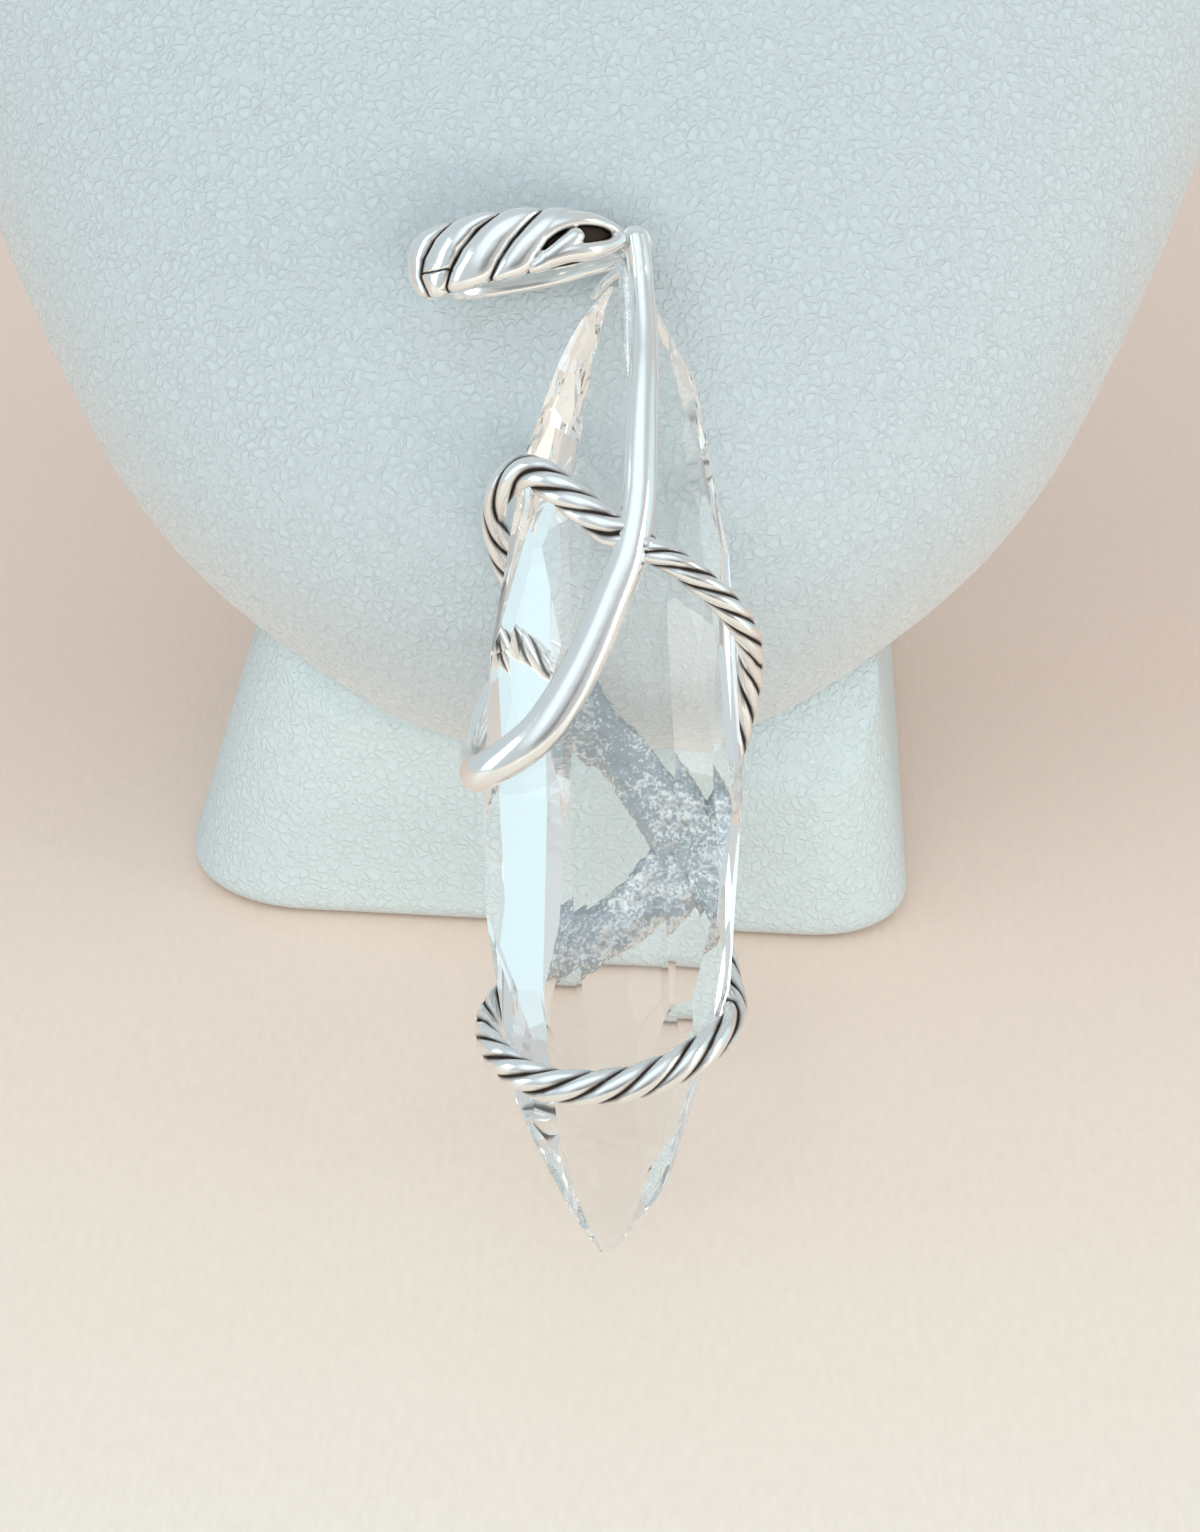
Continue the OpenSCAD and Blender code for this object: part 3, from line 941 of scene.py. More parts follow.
    def planes(self) -> list[tuple[Vector, Vector]]:
        """Lays every facet of the front and the back.

        Returns:
            A point on each and its outward normal.
        """
        found = [self.upper_facet()] + [self.tilted(*facet) for facet in self.large_left]
        for side, heights, shares in (
            (Side.FRONT, self.full_rows, self.front_full),
            (Side.FRONT, self.between_rows, self.front_between),
            (Side.BACK, self.full_rows, self.back_full),
            (Side.BACK, self.between_rows, self.back_between),
        ):
            found += [self.plane(share, s, side) for s in heights for share in shares]
        return found

    def build(self) -> bpy.types.Object:
        """Cuts the facets out of a block.

        Returns:
            The closed stone, flat shaded.
        """
        work = bmesh.new()
        bmesh.ops.create_cube(work, size=1.0)
        size = (*self.block, self.stone.length)
        for corner in work.verts:
            corner.co = Vector((corner.co.x * size[0], corner.co.y * size[1], (corner.co.z + 0.5) * size[2]))
        for spot, normal in self.planes():
            cut_away(work, spot, normal, self.near)
        bmesh.ops.remove_doubles(work, verts=work.verts, dist=self.merge)
        bmesh.ops.recalc_face_normals(work, faces=work.faces)
        work.transform(Matrix.Scale(MM, 4) @ Matrix(self.place.tolist()))
        mesh = bpy.data.meshes.new("crystal_drop")
        work.to_mesh(mesh)
        work.free()
        piece = bpy.data.objects.new("crystal_drop", mesh)
        bpy.context.collection.objects.link(piece)
        return piece


# Wires

@dataclass
class WireRoute:
    """Middle line of a wire with its section at each point, in millimetres."""

    centre: np.ndarray
    out: np.ndarray
    half_w: np.ndarray
    half_t: np.ndarray
    groove: np.ndarray
    rough: np.ndarray
    lay: float = 13.0
    # Length of a dome and width of its last ring, as shares of the wire's radius.
    DOME: ClassVar[float] = 0.85
    DOME_TIP: ClassVar[float] = 0.02

    def lengths(self) -> np.ndarray:
        """Returns the length of wire up to each point."""
        steps = np.linalg.norm(np.diff(self.centre, axis=0), axis=1)
        return np.concatenate([[0.0], np.cumsum(steps)])

    def attributes(self, place: np.ndarray) -> dict[str, np.ndarray]:
        """Works out what the wire's tree reads at each point.

        Args:
            place: Matrix to the shared frame, in millimetres.

        Returns:
            Vectors and numbers by name, in metres.
        """
        ahead = unit(np.gradient(self.centre, axis=0))
        out = unit(self.out - np.sum(self.out * ahead, axis=1, keepdims=True) * ahead)
        across = np.cross(ahead, out)
        turn = place[:3, :3].T
        return {
            "centre": (self.centre @ turn + place[:3, 3]) * MM,
            "out": out @ turn,
            "across": across @ turn,
            "half_w": self.half_w * MM,
            "half_t": self.half_t * MM,
            "groove": self.groove,
            "rough": self.rough,
            "turn": self.lengths() / self.lay * 2 * math.pi,
        }

    def rounded(self, steps: int = 7) -> "WireRoute":
        """Rounds both ends.

        Args:
            steps: Number of rings in each dome.

        Returns:
            The longer route.
        """
        route = self
        for end in (0, -1):
            route = route.with_dome(end, steps)
        return route

    def with_dome(self, end: int, steps: int) -> "WireRoute":
        """Adds a dome to one end.

        Args:
            end: 0 for the first point or -1 for the last.
            steps: Number of rings in the dome.

        Returns:
            The longer route.
        """
        inner = 1 if end == 0 else -2
        ahead = unit(self.centre[end] - self.centre[inner])
        reach = self.DOME * (self.half_w[end] + self.half_t[end]) / 2
        part = np.sin(np.linspace(0, math.pi / 2, steps + 1)[1:])
        shrink = np.sqrt(np.maximum(0.0, 1 - part**2)) + self.DOME_TIP
        centres = self.centre[end] + ahead * reach * part[:, None]
        columns = {
            "centre": centres,
            "out": np.repeat(self.out[[end]], steps, axis=0),
            "half_w": self.half_w[end] * shrink,
            "half_t": self.half_t[end] * shrink,
            "groove": np.full(steps, self.groove[end]),
            "rough": np.full(steps, self.rough[end]),
        }
        joined = {}
        for key, extra in columns.items():
            own = getattr(self, key)
            joined[key] = np.concatenate([extra[::-1], own] if end == 0 else [own, extra])
        return WireRoute(**joined, lay=self.lay)


class WireTree:
    """Geometry tree that sweeps a stranded or smooth section along a route."""

    SIZES: ClassVar[dict[str, int]] = {"Sides": 56, "Strands": 4}
    NUMBERS: ClassVar[dict[str, float]] = {"Noise size": 0.0011, "Noise depth": 0.0}
    # How square the strands' backs are, how soon a groove's bottom is fully dark, and the noise that marks a pit.
    STRAND_POWER: ClassVar[float] = 1.9
    GROOVE_MARK: ClassVar[float] = 4.5
    PIT_NOISE: ClassVar[float] = 0.62

    def __init__(self) -> None:
        """Builds the tree."""
        self.tree = bpy.data.node_groups.new("wire_sweep", "GeometryNodeTree")
        face = self.tree.interface
        face.new_socket("Geometry", in_out="INPUT", socket_type="NodeSocketGeometry")
        for key, value in self.SIZES.items():
            face.new_socket(key, in_out="INPUT", socket_type="NodeSocketInt").default_value = value
        for key, value in self.NUMBERS.items():
            face.new_socket(key, in_out="INPUT", socket_type="NodeSocketFloat").default_value = value
        face.new_socket("Material", in_out="INPUT", socket_type="NodeSocketMaterial")
        face.new_socket("Geometry", in_out="OUTPUT", socket_type="NodeSocketGeometry")
        self.build = NodeBuilder(self.tree)
        self.fill()

    def named(self, name: str, kind: str = "FLOAT") -> bpy.types.NodeSocket:
        """Reads a stored attribute."""
        node = self.build.add("GeometryNodeInputNamedAttribute", {"Name": name}, data_type=kind)
        return next(socket for socket in node.outputs if socket.enabled)

    def store(self, geometry: bpy.types.NodeSocket, name: str, value: bpy.types.NodeSocket) -> bpy.types.NodeSocket:
        """Stores a number for each point.

        Args:
            geometry: What it is stored on.
            name: Name of the attribute.
            value: The number.

        Returns:
            The geometry that carries it.
        """
        node = self.build.add("GeometryNodeStoreNamedAttribute", data_type="FLOAT", domain="POINT")
        self.build.put(node.inputs["Geometry"], geometry)
        self.build.put(node.inputs["Name"], name)
        self.build.put(next(s for s in node.inputs if s.name == "Value" and s.enabled), value)
        return node.outputs[0]

    def fill(self) -> None:
        """Adds the nodes that sweep, shape and finish the wire."""
        build = self.build
        entry = build.add("NodeGroupInput").outputs
        route = build.add("GeometryNodeMeshToCurve", {"Mesh": entry["Geometry"]}).outputs[0]
        circle = build.add("GeometryNodeCurvePrimitiveCircle", {"Resolution": entry["Sides"]}).outputs[0]
        index = build.add("GeometryNodeInputIndex").outputs[0]
        around = build.math("MULTIPLY", build.math("DIVIDE", index, entry["Sides"]), 2 * math.pi)
        profile = self.store(circle, "around", around)
        swept = build.add(
            "GeometryNodeCurveToMesh", {"Curve": route, "Profile Curve": profile, "Fill Caps": True}
        ).outputs[0]

        angle = self.named("around")
        groove = self.named("groove")
        part = build.math("DIVIDE", 2 * math.pi, entry["Strands"])
        inside = build.math("FLOORED_MODULO", build.math("SUBTRACT", angle, self.named("turn")), part)
        centred = build.math("SUBTRACT", build.math("DIVIDE", inside, part), 0.5)
        away = build.math("MULTIPLY", build.math("ABSOLUTE", centred), 2.0)
        sunk = build.math("SUBTRACT", 1.0, build.math("POWER", away, self.STRAND_POWER))
        arch = build.math("SQRT", build.math("MAXIMUM", 0.0, sunk))
        fall = build.math("SUBTRACT", 1.0, arch)
        radius = build.math("SUBTRACT", 1.0, build.math("MULTIPLY", groove, fall))

        side = build.math("MULTIPLY", build.math("MULTIPLY", radius, self.named("half_w")), build.math("COSINE", angle))
        rise = build.math("MULTIPLY", build.math("MULTIPLY", radius, self.named("half_t")), build.math("SINE", angle))
        across = build.scaled(self.named("across", "FLOAT_VECTOR"), side)
        out = build.scaled(self.named("out", "FLOAT_VECTOR"), rise)
        offset = build.vector("ADD", across, out)
        spot = build.vector("ADD", self.named("centre", "FLOAT_VECTOR"), offset)

        noise_scale = build.math("DIVIDE", 1.0, entry["Noise size"])
        noise = build.add(
            "ShaderNodeTexNoise", {"Vector": spot, "Scale": noise_scale, "Detail": 3.0, "Roughness": 0.6}
        ).outputs["Fac"]
        depth = build.math("MULTIPLY", build.math("MULTIPLY", self.named("rough"), entry["Noise depth"]), 2.0)
        push = build.math("MULTIPLY", build.math("SUBTRACT", noise, 0.5), depth)
        bumped = build.vector("ADD", spot, build.scaled(build.vector("NORMALIZE", offset), push))
        shaped = build.add("GeometryNodeSetPosition", {"Geometry": swept, "Position": bumped}).outputs[0]

        grooved = build.math("MINIMUM", 1.0, build.math("MULTIPLY", groove, self.GROOVE_MARK))
        valley = build.math("MULTIPLY", fall, grooved)
        pits = build.math("MULTIPLY", self.named("rough"), build.math("SUBTRACT", self.PIT_NOISE, noise))
        marked = self.store(shaped, "valley", build.math("MAXIMUM", valley, pits))
        smooth = build.add("GeometryNodeSetShadeSmooth", {"Geometry": marked}).outputs[0]
        real = build.add("GeometryNodeRealizeInstances", {"Geometry": smooth}).outputs[0]
        dressed = build.add("GeometryNodeSetMaterial", {"Geometry": real, "Material": entry["Material"]}).outputs[0]
        build.add("NodeGroupOutput", {"Geometry": dressed})

    def sweep(
        self, name: str, route: WireRoute, place: np.ndarray, material: bpy.types.Material, **values: float
    ) -> bpy.types.Object:
        """Sweeps one wire and returns it as a plain mesh object.

        Args:
            name: Name of the object.
            route: Its route and sections.
            place: Matrix to the shared frame, in millimetres.
            material: Material set by the tree.
            values: Inputs of the tree that differ from their defaults, by name with spaces as underscores.

        Returns:
            The wire as a mesh object.
        """
        facts = route.attributes(place)
        count = len(route.centre)
        mesh = bpy.data.meshes.new(f"{name}_route")
        mesh.from_pydata(facts["centre"].tolist(), [(i, i + 1) for i in range(count - 1)], [])
        for key, value in facts.items():
            vector = value.ndim == 2
            layer = mesh.attributes.new(key, "FLOAT_VECTOR" if vector else "FLOAT", "POINT")
            layer.data.foreach_set("vector" if vector else "value", value.astype(np.float32).ravel())
        holder = bpy.data.objects.new(f"{name}_route", mesh)
        bpy.context.collection.objects.link(holder)
        modifier = holder.modifiers.new("sweep", "NODES")
        modifier.node_group = self.tree
        wanted = {key.replace("_", " "): value for key, value in values.items()} | {"Material": material}
        for item in self.tree.interface.items_tree:
            if item.in_out == "INPUT" and item.name in wanted:
                modifier[item.identifier] = wanted[item.name]
        holder.update_tag()
        evaluated = holder.evaluated_get(bpy.context.evaluated_depsgraph_get())
        result = bpy.data.meshes.new_from_object(evaluated)
        holder.modifiers.remove(modifier)
        bpy.data.objects.remove(holder)
        spent = set(facts) - {"rough"} | {"around"}
        for layer in [a.name for a in result.attributes if a.name in spent]:
            result.attributes.remove(result.attributes[layer])
        result.name = name
        piece = bpy.data.objects.new(name, result)
        bpy.context.collection.objects.link(piece)
        face_outwards(result)
        return piece


@dataclass
class TwistedCable:
    """Four-stranded cable that winds round the stone and is beaten flat behind it."""

    stone: StoneForm
    diameter: float = 3.2
    lay: float = 13.0
    deepen: float = 1.2
    rings: int = 760
    # Half width and half thickness as shares, groove depth, lift and roughness, where it is whole and at its thin end.
    ROUND: ClassVar[Row] = (1, 0.76, 0.33, 0, 0)
    SLIM: ClassVar[Row] = (0.8, 0.78, 0.33, 0, 0)
    # Height and angle round the stone in degrees, and the same five values.
    rows: tuple[Row, ...] = (
        (60.4, 80, 0.9, 0.7, 0.2, 0, 0), (61.6, 89, *ROUND), (63.4, 99, *ROUND), (65.4, 114, *ROUND),
        (67, 131, *ROUND), (67.2, 147, *ROUND), (66, 164, *ROUND), (64.2, 184, *ROUND),
        (62, 203, 1, 0.76, 0.26, 0, 0), (59.2, 221, 1, 0.76, 0.22, 0, 0.2), (55.6, 238, 1.1, 0.72, 0.15, 0, 0.6),
        (51.2, 252, 1.25, 0.68, 0.1, 0, 1), (46, 265, 1.4, 0.62, 0.05, 0, 1), (40.8, 280, 1.5, 0.62, 0.05, 0, 1),
        (35.6, 295, 1.5, 0.62, 0.05, 0, 1), (31.2, 307, 1.35, 0.68, 0.08, 0, 1), (27.6, 318, 1.1, 0.72, 0.15, 0, 0.5),
        (24.8, 329, 1, 0.76, 0.24, 0, 0.1), (22.4, 341, *ROUND), (20.7, 357, *ROUND), (19.4, 374, *ROUND),
        (18.2, 389, *ROUND), (17, 402, *ROUND), (15.7, 418, *ROUND), (14.6, 436, *ROUND), (14, 453, *ROUND),
        (14, 470, *ROUND), (14.5, 488, *ROUND), (15.7, 508, *ROUND), (17.4, 528, *ROUND), (19.3, 548, *ROUND),
        (21.2, 569, 1, 0.76, 0.24, 0, 0.1), (23, 590, 1.1, 0.72, 0.15, 0, 0.5), (24.9, 609, 1.25, 0.68, 0.1, 0.25, 1),
        (27.4, 625, 1.4, 0.62, 0.05, 0.5, 1), (31.2, 642, 1.5, 0.62, 0.05, 0.5, 1),
        (35.6, 659, 1.5, 0.62, 0.05, 0.5, 1), (39.8, 672, 1.3, 0.68, 0.08, 0.5, 1),
        (44.0, 684, 1.0, 0.72, 0.2, 0.5, 0.4), (47.9, 698, 0.8, 0.78, 0.3, 0.2, 0), (50.7, 712, *SLIM),
        (52.6, 726, *SLIM), (54, 739, *SLIM), (55.4, 751, *SLIM), (56.7, 763, *SLIM), (58, 775, *SLIM),
        (59.3, 787, *SLIM), (60.2, 798, 0.78, 0.68, 0.2, 0, 0),
    )

    def route(self) -> WireRoute:
        """Draws the cable's route round the stone.

        Returns:
            The route with the cable's section.
        """
        table = through(self.rows, self.rings)
        s, angle = table[:, 0], np.radians(table[:, 1])
        half_t = table[:, 3] * self.diameter / 2
        centre = self.stone.point(s, angle, half_t + table[:, 5] + self.stone.gap)
        return WireRoute(
            centre=centre,
            out=self.stone.normal(s, angle),
            half_w=table[:, 2] * self.diameter / 2,
            half_t=half_t,
            groove=table[:, 4] * self.deepen,
            rough=np.clip(table[:, 6], 0, 1),
            lay=self.lay,
        )

    def build(self, tree: WireTree, place: np.ndarray, material: bpy.types.Material) -> bpy.types.Object:
        """Sweeps the cable."""
        return tree.sweep("cable", self.route().rounded(), place, material, Noise_size=0.001, Noise_depth=0.0006)


@dataclass
class SmoothBar:
    """Smooth tapered bar over the front of the stone, up to the head of the bail's axle."""

    stone: StoneForm
    rings: int = 260
    # Height from which the section turns to face the front, and over how much height it does.
    turn_from: float = 60.0
    turn_over: float = 18.0
    facing: Point = (0.15, -1.0, 0.0)
    # Centre and radius of the bar above the stone, from its rounded top down.
    top: tuple[Row, ...] = (
        (1.55, -3.1, 88.45, 1.05), (1.75, -3.05, 87.3, 1.1), (1.93, -3.0, 85.9, 1.12), (2.08, -3.05, 84.2, 1.13),
    )
    # Height, angle round the stone in degrees, half width and half thickness.
    rows: tuple[Row, ...] = (
        (80.2, 69, 1.2, 1.1), (76.6, 74.5, 1.3, 1.14), (73, 78, 1.4, 1.2), (68.6, 80.3, 1.5, 1.25),
        (64.4, 82, 1.55, 1.25), (59.8, 86, 1.6, 1.25), (55.8, 90.5, 1.64, 1.25), (51.9, 96, 1.7, 1.25),
        (48, 104.5, 1.76, 1.25), (44.6, 116, 1.8, 1.25), (42.6, 130, 1.78, 1.2), (41.4, 147, 1.7, 1.15),
        (41.1, 164, 1.62, 1.15), (42.4, 182, 1.5, 1.1), (45.2, 197, 1.45, 1.05), (48.6, 210, 1.4, 1),
        (51.2, 226, 1.3, 1), (52.4, 243, 1.1, 0.9),
    )

    def route(self) -> WireRoute:
        """Draws the bar's route.

        Returns:
            One smooth route from the rounded top to the end behind the stone.
        """
        low = np.array(self.rows)
        s, angle = low[:, 0], np.radians(low[:, 1])
        on_stone = np.hstack([
            self.stone.point(s, angle, low[:, 3] + self.stone.gap),
            self.stone.normal(s, angle),
            low[:, 2:4],
        ])
        front = np.array(self.facing)
        share = np.clip((s - self.turn_from) / self.turn_over, 0, 1)[:, None]
        on_stone[:, 3:6] = on_stone[:, 3:6] * (1 - share) + front * share
        high = np.array([(x, y, z, *front, r, r) for x, y, z, r in self.top])
        table = through(np.vstack([high, on_stone]), self.rings)
        flat = np.zeros(len(table))
        return WireRoute(table[:, :3], unit(table[:, 3:6]), table[:, 6], table[:, 7], flat, flat)

    def build(self, tree: WireTree, place: np.ndarray, material: bpy.types.Material) -> bpy.types.Object:
        """Sweeps the bar."""
        return tree.sweep("bar", self.route().rounded(12), place, material, Sides=48)


@dataclass
class ApexSilver:
    """Soldered silver over the apex: bridge, post with the axle's bosses, thin arm and flange."""

    axle: tuple[float, float] = (1.55, 88.5)
    # Depths of the ends and radius of the bosses on the line of the axle.
    front_boss: Row = (-2.75, -3.1, 1.0)
    back_boss: Row = (4.05, 4.2, 0.96)
    boss_rings: int = 12
    # Centres and radii along each limb. One that runs deeper than this faces upwards.
    faces_up: float = 3.0
    limb_rings: int = 36
    limb_rough: float = 0.25
    bridge: tuple[Row, ...] = ((1.7, -3.0, 85.9, 0.8), (1.1, 0, 86.0, 0.72), (1.1, 3.4, 85.8, 0.72))
    post: tuple[Row, ...] = ((1.1, 3.4, 85.8, 0.72), (1.3, 4.0, 86.8, 0.74), (1.5, 4.2, 88.2, 0.8))
    arm: tuple[Row, ...] = (
        (1.1, -1.2, 85.9, 0.55), (0.2, -0.9, 85.9, 0.5), (-0.9, -0.4, 85.3, 0.45), (-2.1, 0.2, 83.9, 0.36),
    )
    flange: tuple[Row, ...] = (
        (0.3, -1.7, 86.5, 0.62), (0.75, -2.3, 85.2, 0.72), (0.85, -2.7, 83.2, 0.74), (0.9, -3.3, 81.0, 0.6),
        (0.9, -3.9, 78.6, 0.42), (1.1, -4.5, 75.8, 0.2),
    )

    def limb(self, balls: tuple[Row, ...]) -> WireRoute:
        """Draws the route of a limb through its balls.

        Args:
            balls: Centre and radius of each ball.

        Returns:
            The route, a little rough.
        """
        count = self.limb_rings
        table = through(balls, count)
        deep = abs(balls[-1][1] - balls[0][1]) > self.faces_up
        out = np.tile((0.0, 0.1, 1.0) if deep else (0.0, -1.0, 0.15), (count, 1))
        rough = np.full(count, self.limb_rough)
        return WireRoute(table[:, :3], out, table[:, 3], table[:, 3], np.zeros(count), rough)

    def boss(self, start: float, end: float, radius: float) -> WireRoute:
        """Draws a short round boss on the line of the axle.

        Args:
            start: Depth where it starts.
            end: Depth where it ends.
            radius: Its radius.

        Returns:
            The route, all smooth.
        """
        count = self.boss_rings
        depth = np.linspace(start, end, count)
        centre = np.stack([np.full(count, self.axle[0]), depth, np.full(count, self.axle[1])], axis=1)
        size = np.full(count, radius)
        flat = np.zeros(count)
        return WireRoute(centre, np.tile([0.0, 0.0, 1.0], (count, 1)), size, size, flat, flat)

    def build(self, tree: WireTree, place: np.ndarray, material: bpy.types.Material) -> list[bpy.types.Object]:
        """Sweeps the four limbs and the two bosses.

        Args:
            tree: Tree that sweeps them.
            place: Matrix to the shared frame, in millimetres.
            material: Their silver.

        Returns:
            The six mesh objects.
        """
        routes = {name: self.limb(getattr(self, name)) for name in ("bridge", "post", "arm", "flange")}
        routes |= {name: self.boss(*getattr(self, name)) for name in ("front_boss", "back_boss")}
        return [
            tree.sweep(name, route.rounded(), place, material, Sides=28, Noise_size=0.0009, Noise_depth=0.0002)
            for name, route in routes.items()
        ]


class WireWrap:
    """All the silver soldered round the stone, as one piece."""

    def __init__(self, stone: StoneForm, placement: Placement) -> None:
        """Keeps the parts of the wrap and its place.

        Args:
            stone: Form that the wires follow.
            placement: Frames of the object.
        """
        self.place = placement.jewel()
        self.cable = TwistedCable(stone)
        self.bar = SmoothBar(stone)
        self.apex = ApexSilver()

    def build(self, tree: WireTree, material: bpy.types.Material) -> bpy.types.Object:
        """Builds the wrap.

        Args:
            tree: Tree that sweeps its wires.
            material: Silver that reads the depth of the grooves.

        Returns:
            The dressed piece.
        """
        parts = [self.cable.build(tree, self.place, material), self.bar.build(tree, self.place, material)]
        parts += self.apex.build(tree, self.place, material)
        piece = join("wire_wrap_silver", parts)
        finish_piece(piece, Body.DROP, material, ("wire_wrap",))
        return piece


# Bail

@dataclass(frozen=True)
class BailForm:
    """Sizes that both legs of the bail share, in the bail's own frame."""

    length: float = 19.6
    width: float = 5.9
    front_face: float = -6.65
    back_face: float = 5.95
    leg: float = 1.2
    barrel_r: float = 1.5
    barrel_front: float = -1.2
    barrel_back: float = 3.7
    bore_r: float = 0.8
    knuckle_r: float = 1.15
    knuckle_gap: float = 0.1
    gate_pin_r: float = 0.45
    tongue: float = 1.3
    cheek: float = 0.86

    @property
    def hinge(self) -> tuple[float, float]:
        """Place of the bail's own hinge along the bail and in its depth."""
        return self.length - self.knuckle_r - self.knuckle_gap, -0.7


@dataclass
class BailBack:
    """Smooth back leg with its barrel, cheeks and hinge pin."""

    form: BailForm
    rings: int = 90
    sides: int = 40
    # 1 for an oval section, less for a squarer one.
    roundness: float = 0.75
    # Rounding of the cheeks' ends, and where the sharp edges start, in degrees.
    cheek_soft: float = 0.22
    sharp_from: float = 40.0
    # Depths between which the bore is cut, and the corners of the two small blocks between leg and barrel.
    bore_ends: tuple[float, float] = (-6.0, 8.0)
    catch: tuple[Point, Point] = ((1.35, -2.15, -0.8), (2.5, -0.65, 0.8))
    step: tuple[Point, Point] = ((0.9, -1.2, -0.8), (2.5, -0.3, 0.8))

    def leg(self) -> tuple[np.ndarray, Faces]:
        """Shapes the curved leg.

        Returns:
            Its points and faces.
        """
        form = self.form
        half = form.leg / 2
        rows = [
            (0.046, form.barrel_back - half - 0.1, 0.24),
            (0.112, form.barrel_back - half, 0.24),
            (0.214, form.back_face - 2.2, 0.26),
            (0.367, form.back_face - half - 0.15, 0.29),
            (0.55, form.back_face - half, 0.33),
            (0.73, form.back_face - half - 0.7, 0.38),
            (0.865, form.back_face - 3.1, 0.42),
            (0.945, form.hinge[1] + 0.2, 0.43),
        ]
        table = through(rows, self.rings)
        line = np.stack([table[:, 0] * form.length, table[:, 1]], axis=1)
        ahead = unit(np.gradient(line, axis=0))
        side = np.stack([-ahead[:, 1], ahead[:, 0]], axis=1)
        angle = np.linspace(0, 2 * math.pi, self.sides, endpoint=False)
        lift = half * signed_pow(np.sin(angle), self.roundness)
        wide = signed_pow(np.cos(angle), self.roundness)
        flat = line[:, None, :] + side[:, None, :] * lift[None, :, None]
        across = form.width * table[:, 2][:, None] * wide[None, :]
        points = np.concatenate([flat, across[..., None]], axis=2).reshape(-1, 3)
        return points, ring_faces(self.rings, self.sides)

    def build(self, place: np.ndarray) -> bpy.types.Object:
        """Builds the leg and joins its fittings to it.

        Args:
            place: Matrix to the shared frame, in millimetres.

        Returns:
            The whole back of the bail.
        """
        form = self.form
        points, faces = self.leg()
        leg = plain_mesh("bail_leg", points, faces, place)
        reach = form.width * form.cheek / 2
        slot = form.tongue + form.knuckle_gap
        cheeks = rod("cheeks", form.hinge, form.knuckle_r, -reach, reach, place, self.cheek_soft)
        room = rod("room", form.hinge, form.knuckle_r + form.knuckle_gap, -slot, slot, place)
        pin = rod("hinge_pin", form.hinge, form.gate_pin_r, -slot - 0.1, slot + 0.1, place)
        barrel = barrel_mesh("barrel", form, place)
        catch = block("catch", *self.catch, place)
        step = block("step", *self.step, place)
        bore = turned("bore", form.bore_r, *self.bore_ends, place)
        for tool, change in ((cheeks, Change.ADD), (room, Change.TAKE), (bore, Change.TAKE)):
            combine(leg, tool, change)
        piece = join("bail_back_silver", [leg, pin, barrel, catch, step])
        piece.data.set_sharp_from_angle(angle=math.radians(self.sharp_from))
        return piece


def combine(piece: bpy.types.Object, tool: bpy.types.Object, change: Change) -> None:
    """Adds a tool to a piece or takes it out, and removes the tool.

    Args:
        piece: The piece that changes.
        tool: The closed solid that changes it.
        change: What it does.
    """
    modifier = piece.modifiers.new("change", "BOOLEAN")
    modifier.object = tool
    modifier.operation = change.value
    modifier.solver = "EXACT"
    mesh = bpy.data.meshes.new_from_object(piece.evaluated_get(bpy.context.evaluated_depsgraph_get()))
    piece.modifiers.remove(modifier)
    piece.data = mesh
    bpy.data.objects.remove(tool)


def lathe(profile: list[tuple[float, float]], sides: int, closed: bool) -> tuple[np.ndarray, Faces]:
    """Turns a profile of radius and height about the Z axis.

    Args:
        profile: Radius and height of each point.
        sides: Number of steps round the axis.
        closed: Whether the profile is itself a ring, as for a tube.

    Returns:
        Points and faces of the turned solid.
    """
    angle = np.linspace(0, 2 * math.pi, sides, endpoint=False)
    points = np.array([(r * math.cos(a), r * math.sin(a), h) for r, h in profile for a in angle])
    faces = ring_faces(len(profile), sides)
    if closed:
        faces = faces[:-2]
        last = (len(profile) - 1) * sides
        for k in range(sides):
            n = (k + 1) % sides
            faces.append((last + k, last + n, n, k))
    return points, faces


def rod(
    name: str, at: tuple[float, float], radius: float, low: float, high: float, place: np.ndarray, bevel: float = 0.0
) -> bpy.types.Object:
    """Makes a round rod across the bail's legs.

    Args:
        name: Name of the object.
        at: Its place along the bail and in its depth.
        radius: Its radius.
        low: Its lower end.
        high: Its upper end.
        place: Matrix to the shared frame, in millimetres.
        bevel: Radius of its rounded ends.

    Returns:
        The rod.
    """
    profile = [(radius, low), (radius, high)]
    if bevel:
        arc = [math.radians(d) for d in (0, 22.5, 45, 67.5, 90)]
        bottom = [(radius - bevel + bevel * math.sin(a), low + bevel - bevel * math.cos(a)) for a in arc]
        profile = bottom + [(r, high + low - h) for r, h in reversed(bottom)]
    points, faces = lathe(profile, TURNED_SIDES, closed=False)
    return plain_mesh(name, points + np.array([at[0], at[1], 0.0]), faces, place)


def turned(name: str, radius: float, front: float, back: float, place: np.ndarray) -> bpy.types.Object:
    """Makes a round rod on the line of the axle.

    Args:
        name: Name of the object.
        radius: Its radius.
        front: Depth of its front end.
        back: Depth of its back end.
        place: Matrix to the shared frame, in millimetres.

    Returns:
        The rod.
    """
    points, faces = lathe([(radius, front), (radius, back)], TURNED_SIDES, closed=False)
    return plain_mesh(name, points[:, [0, 2, 1]], faces, place)


